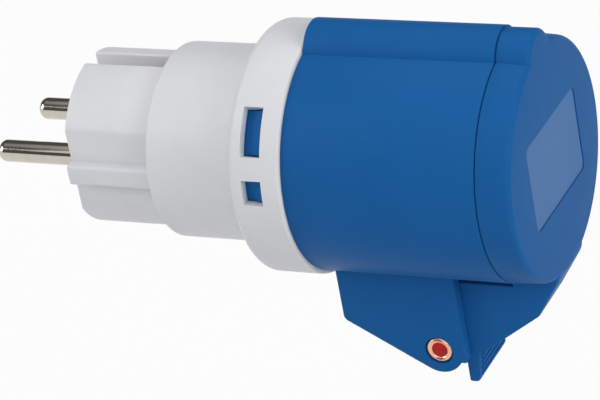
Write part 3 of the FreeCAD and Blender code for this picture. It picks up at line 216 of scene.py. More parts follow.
class ADAPTER_PG_hinge(bpy.types.PropertyGroup):
    """Sizes of the bracket, the rivet and the lid's arm."""
    bracket_half: length("Bracket half width", 10.4, "Half the width over the cheeks")
    slot_half: length("Slot half width", 7.7, "Half the width between the cheeks")
    bracket_slope: angle("Bracket slope", 30.4, "Slope of the bracket's lower edge")
    arm_half: length("Arm half width", 7.5, "Half width of the lid's arm")
    arm_front: length("Arm front", 24.2, "Where the arm's front leaves the lid's face")
    arm_lean: angle("Arm lean", 32.3, "Lean of the arm's front")
    arm_rise: angle("Arm rise", 35.8, "Slope of the arm's underside")
    arm_edge: length("Arm edge rounding", 0.8, "Rounding of the arm's two front edges")
    arm_bend: length("Arm bend rounding", 2.4, "Rounding at the top of the arm's front")
    knuckle: length("Knuckle", 4.6, "Radius of the lid's knuckle")


class ADAPTER_PG_lid(bpy.types.PropertyGroup):
    """Sizes of the flap lid."""
    radius: length("Lid radius", 25.4, "Radius of the lid where it meets the barrel")
    front_radius: length("Lid front radius", 25.0, "Radius of the lid at its face")
    start: length("Lid start", 97.5, "Edge of the lid towards the barrel")
    rim: length("Rim rounding", 1.2, "Rounding of the lid's front rim")
    panel_width: length("Panel width", 27.6, "Width of the plain panel")
    panel_height: length("Panel height", 19.0, "Height of the plain panel")
    panel_corner: length("Panel corner", 1.5, "Corner rounding of the plain panel")


class ADAPTER_PG_finish(bpy.types.PropertyGroup):
    """Colours of the materials."""
    white: colour("White plastic", "#D9DADE", "Moulded white polyamide")
    blue: colour("Blue plastic", "#185C9C", "Moulded blue polyamide")
    # The panel's colour is lighter than the blue plastic, partly for its sand texture and partly as painted
    # sheen.
    panel: colour("Lid panel", "#587DAF", "Sand textured floor of the lid's panel")
    nickel: colour("Nickel", "#C9C3B8", "Polished nickel plating")
    copper: colour("Copper", "#F0B79C", "Polished copper")
    lacquer: colour("Red lacquer", "#BE1C12", "Sealing lacquer in the rivet's end")
    insert: colour("Insulator", "#1C1D20", "Glass filled polyamide of the contact carrier")
    rubber: colour("Rubber", "#17181A", "Soft moulded rubber")
    brass: colour("Brass", "#D9BE82", "Machined brass")
    steel: colour("Steel", "#B9BBBD", "Zinc plated steel")
    brown_wire: colour("Line wire", "#5A331B", "Insulation of the line wire")
    blue_wire: colour("Neutral wire", "#1E4FA3", "Insulation of the neutral wire")
    green_stripe: colour("Green stripe", "#2F8A3A", "One stripe of the earth wire")
    yellow_stripe: colour("Yellow stripe", "#E2CF2E", "The other stripe of the earth wire")
    floor: colour("Floor", "#DCDCDC", "Pale studio floor")


class ADAPTER_PG_stage(bpy.types.PropertyGroup):
    """The camera and the floor."""
    azimuth: angle("Azimuth", 29.056, "Camera's turn round the object, towards the lid")
    elevation: angle("Elevation", 28.132, "Camera's height above the object")
    roll: angle("Roll", -10.928, "Camera's turn about its line of sight")
    distance: length("Distance", 703.259, "From the target to the camera")
    target: bpy.props.FloatVectorProperty(
        name="Target", description="Point in the middle of the picture", size=3, subtype="XYZ",
        default=(45.23 * MM, 0, -13.449 * MM))
    lens: bpy.props.FloatProperty(
        name="Lens", description="Focal length in millimetres", default=201.02, unit="CAMERA")
    floor_gap: length("Floor gap", 46, "From the lowest point to the floor")


# Modelling helpers


def part_sizes(part):
    """A part's settings and fixed sizes by name, its lengths in millimetres."""
    group = getattr(bpy.context.scene, f"adapter_{part}")
    kinds = group.bl_rna.properties
    settings = {name: getattr(group, name) / (MM if kinds[name].subtype == "DISTANCE" else 1)
                for name in group.__annotations__}
    return SimpleNamespace(**settings, **FIXED[part])


def deselect():
    bpy.ops.object.select_all(action="DESELECT")


def activate(piece):
    deselect()
    piece.select_set(True)
    bpy.context.view_layer.objects.active = piece


def edit(piece, kind="VERT", action="SELECT"):
    """Starts to edit the piece, with all of it selected or none."""
    activate(piece)
    bpy.ops.object.mode_set(mode="EDIT")
    bpy.ops.mesh.select_mode(type=kind)
    bpy.ops.mesh.select_all(action=action)


def settle(piece):
    """Puts the piece's place and turn into its mesh."""
    activate(piece)
    bpy.ops.object.transform_apply(location=True, rotation=True, scale=True)


def tidy_mesh(piece):
    """Merges doubled points and points the faces outwards."""
    edit(piece)
    bpy.ops.mesh.remove_doubles(threshold=MERGE_DISTANCE)
    bpy.ops.mesh.dissolve_degenerate(threshold=MERGE_DISTANCE)
    bpy.ops.mesh.normals_make_consistent(inside=False)
    bpy.ops.object.mode_set(mode="OBJECT")


def draw_line(name, points):
    """A new object whose edges run through the points, in millimetres. Leaves it in edit mode."""
    deselect()
    bpy.ops.mesh.primitive_plane_add(size=MM, location=Vector(points[0]) * MM)
    piece = bpy.context.active_object
    piece.name = name
    piece.data.name = name
    settle(piece)
    edit(piece)
    bpy.ops.mesh.merge(type="CENTER")
    for here, there in zip(points, points[1:]):
        step = (Vector(there) - Vector(here)) * MM
        bpy.ops.mesh.extrude_vertices_move(TRANSFORM_OT_translate={"value": step})
    return piece


def slab(name, outline, depth):
    """A flat outline pushed through by a depth, both in millimetres."""
    piece = draw_line(name, outline)
    bpy.ops.mesh.select_all(action="SELECT")
    bpy.ops.mesh.edge_face_add()
    bpy.ops.mesh.extrude_region_move(TRANSFORM_OT_translate={"value": Vector(depth) * MM})
    bpy.ops.object.mode_set(mode="OBJECT")
    tidy_mesh(piece)
    return piece


def turned(name, outline, middle=0.0, span=FULL_TURN, steps=ROUND_STEPS, centre=(0, 0, 0), axis=(1, 0, 0)):
    """An outline of (along, radius) in millimetres turned about an axis, by a full turn or a part of it."""
    side = Vector((0, 0, 1)) if axis[0] else Vector((1, 0, 0))
    origin = Vector(centre)
    points = [origin + Vector(axis) * along + side * radius for along, radius in outline]
    piece = draw_line(name, points)
    bpy.ops.mesh.select_all(action="SELECT")
    if outline[0][1] > 0:
        bpy.ops.mesh.edge_face_add()
    if span < FULL_TURN:
        bpy.ops.transform.rotate(
            value=-middle - span / 2, orient_axis="X", center_override=(0, 0, 0), orient_type="GLOBAL")
    elif outline[0][1] > 0:
        bpy.ops.mesh.delete(type="ONLY_FACE")
        bpy.ops.mesh.select_all(action="SELECT")
    bpy.ops.mesh.spin(steps=steps, angle=span, center=origin * MM, axis=axis)
    bpy.ops.object.mode_set(mode="OBJECT")
    tidy_mesh(piece)
    return piece


def round_edges(piece, radius, chosen, segments=4):
    """Rounds the edges whose two ends pass the test, all in millimetres."""
    edit(piece, "EDGE", "DESELECT")
    mesh = bmesh.from_edit_mesh(piece.data)
    found = [edge for edge in mesh.edges if chosen(*[vert.co / MM for vert in edge.verts])]
    if not found:
        raise RuntimeError(f"{piece.name} has no such edges")
    for edge in found:
        edge.select_set(True)
    bmesh.update_edit_mesh(piece.data)
    bpy.ops.mesh.bevel(offset=radius * MM, segments=segments, affect="EDGES", clamp_overlap=False)
    bpy.ops.object.mode_set(mode="OBJECT")


def soften(piece, radius, limit=40, segments=2):
    """Rounds every sharp edge by a small radius in millimetres."""
    modifier = piece.modifiers.new("Soft edges", "BEVEL")
    modifier.width = radius * MM
    modifier.segments = segments
    modifier.limit_method = "ANGLE"
    modifier.angle_limit = math.radians(limit)
    modifier.use_clamp_overlap = False
    activate(piece)
    bpy.ops.object.modifier_apply(modifier=modifier.name)


def combine(piece, others, operation):
    """Joins other solids to the piece or cuts them out of it, and removes them."""
    for other in others:
        modifier = piece.modifiers.new("Combine", "BOOLEAN")
        modifier.operation = operation
        modifier.solver = "EXACT"
        modifier.object = other
        activate(piece)
        bpy.ops.object.modifier_apply(modifier=modifier.name)
        bpy.data.objects.remove(other)


def join_solids(piece, *others):
    combine(piece, others, "UNION")


def cut_out(piece, *others):
    combine(piece, others, "DIFFERENCE")


def rod(name, centre, radius, depth, axis, steps=64):
    """A round rod in millimetres along X, Y or Z."""
    deselect()
    turn = {"X": (0, math.pi / 2, 0), "Y": (math.pi / 2, 0, 0), "Z": (0, 0, 0)}[axis]
    bpy.ops.mesh.primitive_cylinder_add(
        vertices=steps, radius=radius * MM, depth=depth * MM, location=Vector(centre) * MM, rotation=turn)
    piece = bpy.context.active_object
    piece.name = name
    piece.data.name = name
    settle(piece)
    return piece


def block(name, low, high):
    """A block between two corners in millimetres."""
    x0, y0, z0 = low
    x1, y1, z1 = high
    return slab(name, [(x0, y0, z0), (x1, y0, z0), (x1, y1, z0), (x0, y1, z0)], (0, 0, z1 - z0))


def cross_slab(name, outline, half):
    """An outline of (along, up) pushed out to both sides by half the width, in millimetres."""
    return slab(name, [(along, -half, up) for along, up in outline], (0, 2 * half, 0))


def arc(centre, radius, start, end, steps):
    """Points on an arc, its angles in degrees."""
    points = []
    for k in range(steps + 1):
        turn = math.radians(start + (end - start) * k / steps)
        points.append((centre[0] + radius * math.cos(turn), centre[1] + radius * math.sin(turn)))
    return points


def ring_at(along, radius):
    """A test for edges on the circle about the long axis at this place and radius."""
    return lambda a, b: all(
        abs(p.x - along) < NEAR and abs(math.hypot(p.y, p.z) - radius) < NEAR for p in (a, b))


def across_at(along, up):
    """A test for the edge that runs across the object at this place."""
    return lambda a, b: all(abs(p.x - along) < NEAR and abs(p.z - up) < NEAR for p in (a, b))


def along_at(across, up):
    """A test for the edges along the object that lie this far to either side and this far up or down."""
    return lambda a, b: a.x != b.x and all(
        abs(abs(p.y) - across) < NEAR and abs(abs(p.z) - up) < NEAR for p in (a, b))


def finish_piece(piece, slot, body, *nodes):
    """Clean mesh, smooth shading, material, body and the nodes that the piece stands for."""
    tidy_mesh(piece)
    bpy.ops.object.shade_smooth_by_angle(angle=SMOOTH_ANGLE)
    piece.data.materials.clear()
    piece.data.materials.append(MATERIALS[slot])
    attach(piece, body)
    if nodes:
        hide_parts(*nodes)


def paint_faces(piece, material, chosen):
    """Gives the faces whose middle, in millimetres, passes the test another material."""
    piece.data.materials.append(material)
    edit(piece, "FACE", "DESELECT")
    mesh = bmesh.from_edit_mesh(piece.data)
    for face in mesh.faces:
        face.select_set(chosen(face.calc_center_median() / MM))
    bmesh.update_edit_mesh(piece.data)
    piece.active_material_index = len(piece.data.materials) - 1
    bpy.ops.object.material_slot_assign()
    bpy.ops.object.mode_set(mode="OBJECT")


# Materials


def add_node(tree, kind, settings=(), links=()):
    """Adds a shader node. Settings go on its sockets, or else on the node; links feed its sockets."""
    node = tree.nodes.new(f"ShaderNode{kind}")
    for key, setting in dict(settings).items():
        if isinstance(key, int) or key in node.inputs:
            node.inputs[key].default_value = setting
        else:
            setattr(node, key, setting)
    for key, source in dict(links).items():
        tree.links.new(source, node.inputs[key])
    return node


def new_material(name, settings):
    """A material with one Principled shader, and its tree, shader and object coordinates."""
    material = bpy.data.materials.new(name)
    material.use_nodes = True
    tree = material.node_tree
    shader = tree.nodes["Principled BSDF"]
    for key, setting in settings.items():
        shader.inputs[key].default_value = setting
    place = add_node(tree, "TexCoord").outputs["Object"]
    return material, tree, shader, place


def noise(tree, place, grain_mm, detail=2.0):
    """Noise whose patches are about this many millimetres wide."""
    return add_node(
        tree, "TexNoise", {"Scale": 1 / (grain_mm * MM), "Detail": detail}, {"Vector": place})


def spread(tree, source, low=0.0, high=1.0):
    """Maps noise, which seldom leaves 0.3 to 0.7, onto a range."""
    settings = {"From Min": 0.3, "From Max": 0.7, "To Min": low, "To Max": high}
    return add_node(tree, "MapRange", settings, {"Value": source}).outputs["Result"]


def bump(tree, shader, height, strength, depth_mm):
    """Gives the surface a relief of this depth in millimetres."""
    node = add_node(
        tree, "Bump", {"Strength": strength, "Distance": depth_mm * MM}, {"Height": height})
    tree.links.new(node.outputs["Normal"], shader.inputs["Normal"])


def mix_colours(tree, shader, factor, first, second):
    """Makes the base colour a mix of two."""
    mix = add_node(tree, "Mix", {"data_type": "RGBA"})
    sockets = [socket for socket in mix.inputs if socket.type == "RGBA"]
    sockets[0].default_value = first
    sockets[1].default_value = second
    tree.links.new(factor, mix.inputs["Factor"])
    output = next(socket for socket in mix.outputs if socket.type == "RGBA")
    tree.links.new(output, shader.inputs["Base Color"])


def tinted(tree, shader, tint, factor, darker):
    """Varies the base colour between itself and a slightly darker one."""
    shade = [part * darker for part in tint[:3]] + [1.0]
    mix_colours(tree, shader, factor, shade, tint)


def moulded_polyamide(name, tint, roughness, texture_depth, gloss):
    """Polyamide from a spark-eroded mould: satin, with a fine even grain and faint clouding."""
    material, tree, shader, place = new_material(
        name, {"IOR": 1.53, "Roughness": roughness, "Specular IOR Level": gloss})
    clouds = noise(tree, place, grain_mm=9.0).outputs["Fac"]
    # The real grain is about 0.05 mm; it is drawn at 0.22 mm so that it shows.
    grain = noise(tree, place, grain_mm=0.22, detail=3.0).outputs["Fac"]
    tinted(tree, shader, tint, spread(tree, clouds), darker=0.965)
    tree.links.new(
        spread(tree, grain, low=roughness - 0.04, high=roughness + 0.05), shader.inputs["Roughness"])
    bump(tree, shader, grain, strength=0.35, depth_mm=texture_depth)
    return material


def plated_metal(name, tint, roughness, scratch_mm):
    """Plated or polished metal: mirror-like, with turning marks round the axis and slight wear."""
    material, tree, shader, place = new_material(name, {"Metallic": 1.0, "Roughness": roughness})
    stretch = add_node(tree, "Mapping", {"Scale": (6.0, 1.0, 1.0)}, {"Vector": place})
    marks = noise(tree, stretch.outputs["Vector"], scratch_mm, detail=3.0).outputs["Fac"]
    smears = noise(tree, place, grain_mm=2.5).outputs["Fac"]
    tinted(tree, shader, tint, spread(tree, smears), darker=0.93)
    tree.links.new(
        spread(tree, marks, low=roughness * 0.8, high=roughness * 1.35), shader.inputs["Roughness"])
    bump(tree, shader, marks, strength=0.12, depth_mm=0.01)
    return material


def red_lacquer(tint):
    """Brushed-on sealing lacquer: glossy, a little uneven."""
    material, tree, shader, place = new_material(
        "Red sealing lacquer", {"IOR": 1.5, "Roughness": 0.3, "Specular IOR Level": 0.2})
    waves = noise(tree, place, grain_mm=0.9).outputs["Fac"]
    tinted(tree, shader, tint, spread(tree, waves), darker=0.72)
    bump(tree, shader, waves, strength=0.4, depth_mm=0.06)
    return material


def soft_rubber(tint):
    """Moulded rubber: matt, faintly dusty."""
    material, tree, shader, place = new_material("Moulded rubber", {"IOR": 1.52, "Roughness": 0.75})
    dust = noise(tree, place, grain_mm=0.4, detail=4.0).outputs["Fac"]
    tinted(tree, shader, tint, spread(tree, dust), darker=0.7)
    tree.links.new(spread(tree, dust, low=0.66, high=0.84), shader.inputs["Roughness"])
    bump(tree, shader, dust, strength=0.3, depth_mm=0.02)
    return material


def striped_insulation(green, yellow):
    """Green and yellow insulation in two stripes along the wire."""
    material, tree, shader, place = new_material(
        "Green and yellow insulation", {"IOR": 1.5, "Roughness": 0.4})
    across = add_node(tree, "SeparateXYZ", {}, {"Vector": place}).outputs["Y"]
    side = add_node(tree, "Math", {"operation": "GREATER_THAN", 1: 0.0}, {0: across})
    mix_colours(tree, shader, side.outputs["Value"], green, yellow)
    return material


# Slot, name, colour, roughness, depth of the texture in millimetres and gloss of each plastic
PLASTICS = (
    ("white_plastic", "Moulded white polyamide", "white", 0.42, 0.03, 0.25),
    ("blue_plastic", "Moulded blue polyamide", "blue", 0.46, 0.03, 0.05),
    # The panel's lighter colour is partly its sand texture and partly painted sheen.
    ("panel_texture_and_sheen", "Sand textured polyamide", "panel", 0.7, 0.05, 0.05),
    ("grey_plastic", "Moulded pale polyamide", "white", 0.5, 0.03, 0.25),
    ("black_plastic", "Glass filled polyamide", "insert", 0.48, 0.04, 0.25),
    ("brown_insulation", "Brown insulation", "brown_wire", 0.4, 0.01, 0.25),
    ("blue_insulation", "Blue insulation", "blue_wire", 0.4, 0.01, 0.25),
)
# Slot, name, colour, roughness and width of the marks in millimetres of each metal
METALS = (
    ("nickel", "Polished nickel plating", "nickel", 0.1, 0.5),
    ("copper", "Polished copper", "copper", 0.22, 0.4),
    ("brass", "Machined brass", "brass", 0.26, 0.4),
    ("steel", "Zinc plated steel", "steel", 0.32, 0.3),
    ("spring_steel", "Drawn spring steel", "steel", 0.24, 0.3),
)
MATERIALS = {}


class ADAPTER_OT_materials(bpy.types.Operator):
    """Makes the materials and gives the hidden pieces theirs"""
    bl_idname = "adapter.materials"
    bl_label = "Materials"

    def execute(self, context):
        finish = context.scene.adapter_finish
        tints = {name: list(getattr(finish, name)) for name in finish.__annotations__}
        for slot, name, tint, roughness, depth, gloss in PLASTICS:
            MATERIALS[slot] = moulded_polyamide(name, tints[tint], roughness, depth, gloss)
        for slot, name, tint, roughness, marks in METALS:
            MATERIALS[slot] = plated_metal(name, tints[tint], roughness, marks)
        MATERIALS["earth_insulation"] = striped_insulation(tints["green_stripe"], tints["yellow_stripe"])
        MATERIALS["rubber"] = soft_rubber(tints["rubber"])
        MATERIALS["lacquer"] = red_lacquer(tints["lacquer"])
        slots = {part["node"]: part["material_slot"] for part in frame["record"]["subparts"]}
        for node, piece in frame["nodes"].items():
            for place in piece.material_slots:
                place.material = MATERIALS[slots[node]]
        return {"FINISHED"}


# The white plug half


def nose_outline(plug):
    """The nose's cross-section as (across, up), counter-clockwise from the far side's rib."""
    radius = plug.nose_radius
    flat_angle = math.degrees(math.acos(plug.flat_distance / radius))
    rib_angle = math.degrees(math.asin(plug.rib_half / radius))
    channel_angle = math.degrees(math.acos(plug.channel_half / radius))
    round_part = arc((0, 0), radius, flat_angle, channel_angle, steps=16)
    quarter = [(plug.flat_distance, plug.rib_half)] + round_part + [(plug.channel_half, plug.channel_floor)]
    upper = quarter + [(-across, up) for across, up in reversed(quarter)]
    far_rib = arc((0, 0), radius, -rib_angle, rib_angle, steps=4)
    near_rib = [(-across, -up) for across, up in far_rib]
    return far_rib + upper + near_rib + [(-across, -up) for across, up in upper]


def plug_nose(plug, front):
    """The nose with its rounded edges, reaching a little into the neck."""
    outline = [(front, across, up) for across, up in nose_outline(plug)]
    nose = slab("Nose", outline, (plug.nose_end + PAST - front, 0, 0))
    radius = plug.nose_radius
    channel, rib = plug.channel_half, plug.rib_half
    for across, up in ((channel, math.sqrt(radius ** 2 - channel ** 2)),
                       (math.sqrt(radius ** 2 - rib ** 2), rib)):
        round_edges(nose, plug.nose_edge, along_at(across, up), segments=3)
    soften(nose, plug.nose_soft, limit=35)
    return nose


def window_places(plug):
    """The side, middle and span of each latch window."""
    return [(side, middle, span) for side in (1, -1) for middle, span in (
        (plug.upper_window, plug.upper_span), (plug.lower_window, plug.lower_span))]


def window_cutter(plug, side, middle, span):
    """The space of one latch window, through the collar's wall."""
    start = plug.window_start
    end = start + plug.window_length
    inner, outer = plug.collar_bore - PAST, plug.collar_radius + PAST
    outline = [(start, inner), (end, inner), (end, outer), (start, outer)]
    return turned("Window", outline, middle=side * (math.pi / 2 - middle), span=span, steps=12)


class ADAPTER_OT_white_housing(bpy.types.Operator):
    """Models the white housing: plug nose, neck and collar with its latch windows"""
    bl_idname = "adapter.white_housing"
    bl_label = "White housing"

    def execute(self, context):
        plug = part_sizes("plug")
        pins = part_sizes("pins")
        nose_end, neck_end = plug.nose_end, plug.neck_end
        neck, collar = plug.neck_radius, plug.collar_radius
        front, collar_end = PLUG_LOW.x / MM, PLUG_HIGH.x / MM
        housing = turned("white_housing", [
            (nose_end, 0), (nose_end, neck), (neck_end, neck), (neck_end, collar), (collar_end, collar),
            (collar_end, 0)])
        round_edges(housing, plug.shoulder, ring_at(neck_end, collar), segments=6)
        round_edges(housing, plug.neck_rim, ring_at(nose_end, neck), segments=3)
        round_edges(housing, plug.collar_rim, ring_at(collar_end, collar))
        round_edges(housing, plug.neck_foot, ring_at(neck_end, neck), segments=3)
        join_solids(housing, plug_nose(plug, front))
        mouth, mouth_end = pins.block_radius + plug.mouth_play, front + plug.mouth_depth
        neck_inside, collar_inside = nose_end + plug.neck_wall, neck_end + plug.collar_wall
        cut_out(housing, turned("Inside", [
            (front - PAST, 0), (front - PAST, mouth), (mouth_end, mouth), (mouth_end, plug.nose_bore),
            (neck_inside, plug.nose_bore), (neck_inside, plug.neck_bore), (collar_inside, plug.neck_bore),
            (collar_inside, plug.collar_bore), (collar_end + PAST, plug.collar_bore),
            (collar_end + PAST, 0)], steps=128))
        half, floor = plug.channel_half, plug.channel_floor
        for place in window_places(plug):
            cut_out(housing, window_cutter(plug, *place))
        for side in (1, -1):
            low, high = sorted((side * floor, side * (floor + plug.strap_slot)))
            cut_out(housing, block(
                "Slot", (nose_end - LAP, -half, low), (nose_end + plug.strap_reach, half, high)))
        finish_piece(housing, "white_plastic", "adapter", "plug_housing")
        return {"FINISHED"}


def plug_pin(pins, name, tip, end, across):
    """A pin from its tip to its terminal's end, with the holes for the wire and the screw."""
    pin = turned(name, [
        (tip, 0), (tip, pins.pin_radius), (pins.shank_start, pins.pin_radius),
        (pins.shank_start, pins.shank_radius), (pins.terminal_start, pins.shank_radius),
        (pins.terminal_start, pins.terminal_radius), (end, pins.terminal_radius), (end, 0)],
        centre=(0, across, 0), steps=72)

    def tip_rim(a, b):
        return max(a.x, b.x) < tip + NEAR and a.y != b.y and all(
            math.hypot(p.y - across, p.z) > pins.pin_radius - NEAR for p in (a, b))

    round_edges(pin, pins.tip_rounding, tip_rim, segments=8)
    wire = rod("Wire hole", (end + (PAST - pins.wire_depth) / 2, across, 0), pins.wire_hole,
               pins.wire_depth + PAST, "X", steps=32)
    screw = rod("Screw hole", (end - pins.screw_back, across, pins.screw_reach / 2), pins.screw_hole,
                pins.screw_reach, "Z", steps=32)
    cut_out(pin, wire, screw)
    return pin


class ADAPTER_OT_pins(bpy.types.Operator):
    """Models the plug's pins and the block that carries them"""
    bl_idname = "adapter.pins"
    bl_label = "Pins and their block"

    def execute(self, context):
        pins = part_sizes("pins")
        bridge = turned("pin_block", [
            (0, 0), (0, pins.block_radius), (pins.flange_start, pins.block_radius),
            (pins.flange_start, pins.flange_radius), (pins.flange_end, pins.flange_radius),
            (pins.flange_end, pins.post_radius), (pins.post_end, pins.post_radius), (pins.post_end, 0)],
            steps=128)
        soften(bridge, pins.block_edge, segments=3)
        for node in ("line_pin", "neutral_pin"):
            low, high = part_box(node)
            across = (low.y + high.y) / 2 / MM
            cut_out(bridge, rod("Hole", (pins.flange_end / 2, across, 0), pins.pin_hole,
                                pins.flange_end + 2 * PAST, "X"))
            pin = plug_pin(pins, f"{node}_shank", low.x / MM, high.x / MM, across)
            finish_piece(pin, "nickel", "adapter", node)
        stud_depth = pins.post_end - pins.stud_start
        stud = rod("Stud hole", (pins.post_end, 0, 0), pins.screw_hole, 2 * stud_depth, "X", steps=32)
        cut_out(bridge, stud)
        finish_piece(bridge, "grey_plastic", "adapter", "pin_bridge")
        return {"FINISHED"}


# The blue socket half


def latch(socket, plug, side, middle, span):
    """A ramped latch that stands in a window."""
    base = socket.spigot_radius
    start = plug.window_start + socket.latch_play
    end = start + plug.window_length - 2 * socket.latch_play
    top = base + socket.latch_height
    outline = [
        (start, base - LAP), (end, base - LAP), (end, top), (end - socket.latch_flat, top),
        (start, base + socket.latch_foot)]
    return turned("Latch", outline, middle=side * (math.pi / 2 - middle),
                  span=span - LATCH_NARROWING, steps=12)


def bracket(hinge):
    """The hinge bracket's block, its slots still uncut."""
    x, z = HINGE.x / MM, HINGE.z / MM
    boss, lean = hinge.boss_radius, hinge.bracket_slope
    first, last = hinge.bracket_start, hinge.bracket_end
    root, foot = -hinge.bracket_root, z - hinge.bracket_foot
    tangent_x = x - boss * math.sin(lean)
    tangent_z = z - boss * math.cos(lean)
    corner = tangent_z + (tangent_x - first) * math.tan(lean)
    foot_angle = math.degrees(math.asin((foot - z) / boss))
    around = arc((x, z), boss, -90 - math.degrees(lean), foot_angle, steps=12)
    outline = [(first, root), (first, corner)] + around + [(last, foot), (last, root)]
    piece = cross_slab("Bracket", outline, hinge.bracket_half)
    round_edges(piece, hinge.bracket_edge, across_at(first, corner))
    soften(piece, hinge.soft_edge, limit=50, segments=3)
    return piece


def keyway_ridge(name, socket, start, end, radius):
    """The rounded ridge over the keyway between two places."""
    return rod(name, ((start + end) / 2, 0, socket.ridge_centre), radius, end - start, "X", steps=128)


class ADAPTER_OT_blue_housing(bpy.types.Operator):
    """Models the blue housing: spigot with latches, barrel, keyway ridge and hinge bracket"""
    bl_idname = "adapter.blue_housing"
    bl_label = "Blue housing"

    def execute(self, context):
        socket = part_sizes("socket")
        plug = part_sizes("plug")
        hinge = part_sizes("hinge")
        start, end, radius = socket.barrel_start, socket.barrel_end, socket.barrel_radius
        first, last = SOCKET_LOW.x / MM, SOCKET_HIGH.x / MM
        housing = turned("blue_housing", [
            (first, 0), (first, socket.spigot_radius), (start, socket.spigot_radius), (start, radius),
            (end, radius), (end, socket.lip_radius), (last, socket.lip_radius), (last, 0)])
        round_edges(housing, socket.rear_edge, ring_at(start, radius), segments=2)
        round_edges(housing, socket.front_edge, ring_at(end, radius), segments=2)
        for place in window_places(plug):
            join_solids(housing, latch(socket, plug, *place))
        ridge = keyway_ridge("Ridge", socket, start, end, socket.ridge_radius)
        round_edges(ridge, socket.ridge_edge, lambda a, b: max(a.x, b.x) < start + NEAR, segments=3)
        join_solids(housing, ridge, bracket(hinge))
        middle = HINGE / MM
        self.cut_hinge(housing, hinge, middle)
        self.cut_inside(housing, socket, first, last)
        spring_low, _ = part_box("lid_spring")
        anchor = (hinge.web_start, spring_low.y / MM + hinge.spring_in, middle.z + hinge.spring_up)
        web = hinge.web_end - hinge.web_start
        cut_out(housing, rod("Anchor hole", anchor, hinge.spring_hole, 2 * (web + PAST), "X", steps=24))
        finish_piece(housing, "blue_plastic", "adapter", "socket_housing")
        return {"FINISHED"}

    def cut_hinge(self, housing, hinge, middle):
        """Cuts the bracket's two slots and the rivet's hole with its recesses."""
        half, roof = hinge.slot_half, -hinge.slot_roof
        below = middle.z - hinge.boss_radius - PAST
        for start, end in ((hinge.bracket_start - PAST, hinge.web_start),
                           (hinge.web_end, hinge.bracket_end + PAST)):
            cut_out(housing, block("Slot", (start, -half, below), (end, half, roof)))
        width = 2 * (hinge.bracket_half + PAST)
        cut_out(housing, rod("Rivet hole", (middle.x, 0, middle.z), hinge.rivet_hole, width, "Y", steps=48))
        for side in (1, -1):
            place = (middle.x, side * (hinge.bracket_half - hinge.recess_depth + PAST), middle.z)
            cut_out(housing, rod("Recess", place, hinge.recess_radius, 2 * PAST, "Y"))

    def cut_inside(self, housing, socket, first, last):
        """Cuts the rooms behind and before the base wall, the keyway and the wall's holes."""
        base_start, base_end, bore = socket.base_start, socket.base_end, socket.bore
        cut_out(housing,
                turned("Rear room", [
                    (first - PAST, 0), (first - PAST, socket.spigot_bore), (base_start, socket.spigot_bore),
                    (base_start, 0)], steps=128),
                turned("Cavity", [
                    (base_end, 0), (base_end, bore), (last + PAST, bore), (last + PAST, 0)], steps=128))
        key = socket.keyway_half
        cut_out(housing, block(
            "Keyway", (base_end, -key, bore - socket.keyway_reach), (last + PAST, key, socket.keyway_top)))
        wall, through = (base_start + base_end) / 2, 2 * (base_end - base_start)
        for node in ("line_contact", "neutral_contact", "earth_contact"):
            low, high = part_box(node)
            place = (wall, (low.y + high.y) / 2 / MM, (low.z + high.z) / 2 / MM)
            cut_out(housing, rod("Contact hole", place, socket.contact_hole, through, "X"))
        for side in (1, -1):
            place = (wall, side * socket.screw_across, socket.screw_up)
            cut_out(housing, rod("Screw hole", place, socket.screw_hole, through, "X", steps=32))


# The lid and its rivet


def arm_places(hinge, start, face):
    """The hinge's middle and the corners of the lid's arm."""
    at = SimpleNamespace(start=start, face=face, x=HINGE.x / MM, z=HINGE.z / MM, tip_z=LID_LOW.z / MM)
    at.roof = -hinge.arm_roof
    at.front_z = -hinge.arm_front
    at.lap_z = at.front_z + hinge.arm_lap
    at.nose_z = -hinge.arm_nose
    at.nose_x = face + (at.nose_z - at.front_z) * math.tan(hinge.arm_lean)
    at.root_x = at.x + hinge.tab_front
    at.root_z = at.nose_z - (at.nose_x - at.root_x) * math.tan(hinge.arm_rise)
    at.tip_x = at.root_x - hinge.tab_taper
    at.back_x = at.x + hinge.tab_back
    return at


def lid_arm(hinge, at):
    """The lid's arm and finger tab, still solid. Two of its corners lie inside the knuckle."""
    arm = cross_slab("Arm", [
        (at.face, at.lap_z), (at.face, at.front_z), (at.nose_x, at.nose_z), (at.root_x, at.root_z),
        (at.tip_x, at.tip_z), (at.back_x, at.tip_z), (at.back_x, at.z - hinge.knuckle + SMALL_LAP),
        (at.x, at.z), (at.x - hinge.knuckle + PAST, at.z), (at.x + hinge.arm_back, at.roof),
        (at.start, at.roof), (at.start, at.lap_z)], hinge.arm_half)
    round_edges(arm, hinge.tab_front_edge, across_at(at.tip_x, at.tip_z))
    round_edges(arm, hinge.tab_back_edge, across_at(at.back_x, at.tip_z), segments=3)
    round_edges(arm, hinge.arm_bend / 2, across_at(at.face, at.front_z))

    def front_edge(a, b):
        return (abs(a.y - b.y) < NEAR and min(a.x, b.x) > at.nose_x - NEAR
                and min(a.z, b.z) > at.nose_z - NEAR and max(a.z, b.z) < at.lap_z + NEAR)

    round_edges(arm, hinge.arm_edge, front_edge, segments=5)
    soften(arm, hinge.soft_edge, limit=50, segments=3)
    return arm


def arm_shoulder(hinge, at):
    """The arm's low shoulder under the barrel, hollow where the barrel passes."""
    half, reach = hinge.arm_half, hinge.arm_shoulder
    shoulder = block("Shoulder", (at.start - reach, -half, at.roof - LAP), (at.start + LAP, half, at.lap_z))
    barrel = rod("Barrel's place", (at.start, 0, 0), hinge.arm_saddle, 2 * (reach + PAST), "X", steps=160)
    cut_out(shoulder, barrel)
    return shoulder


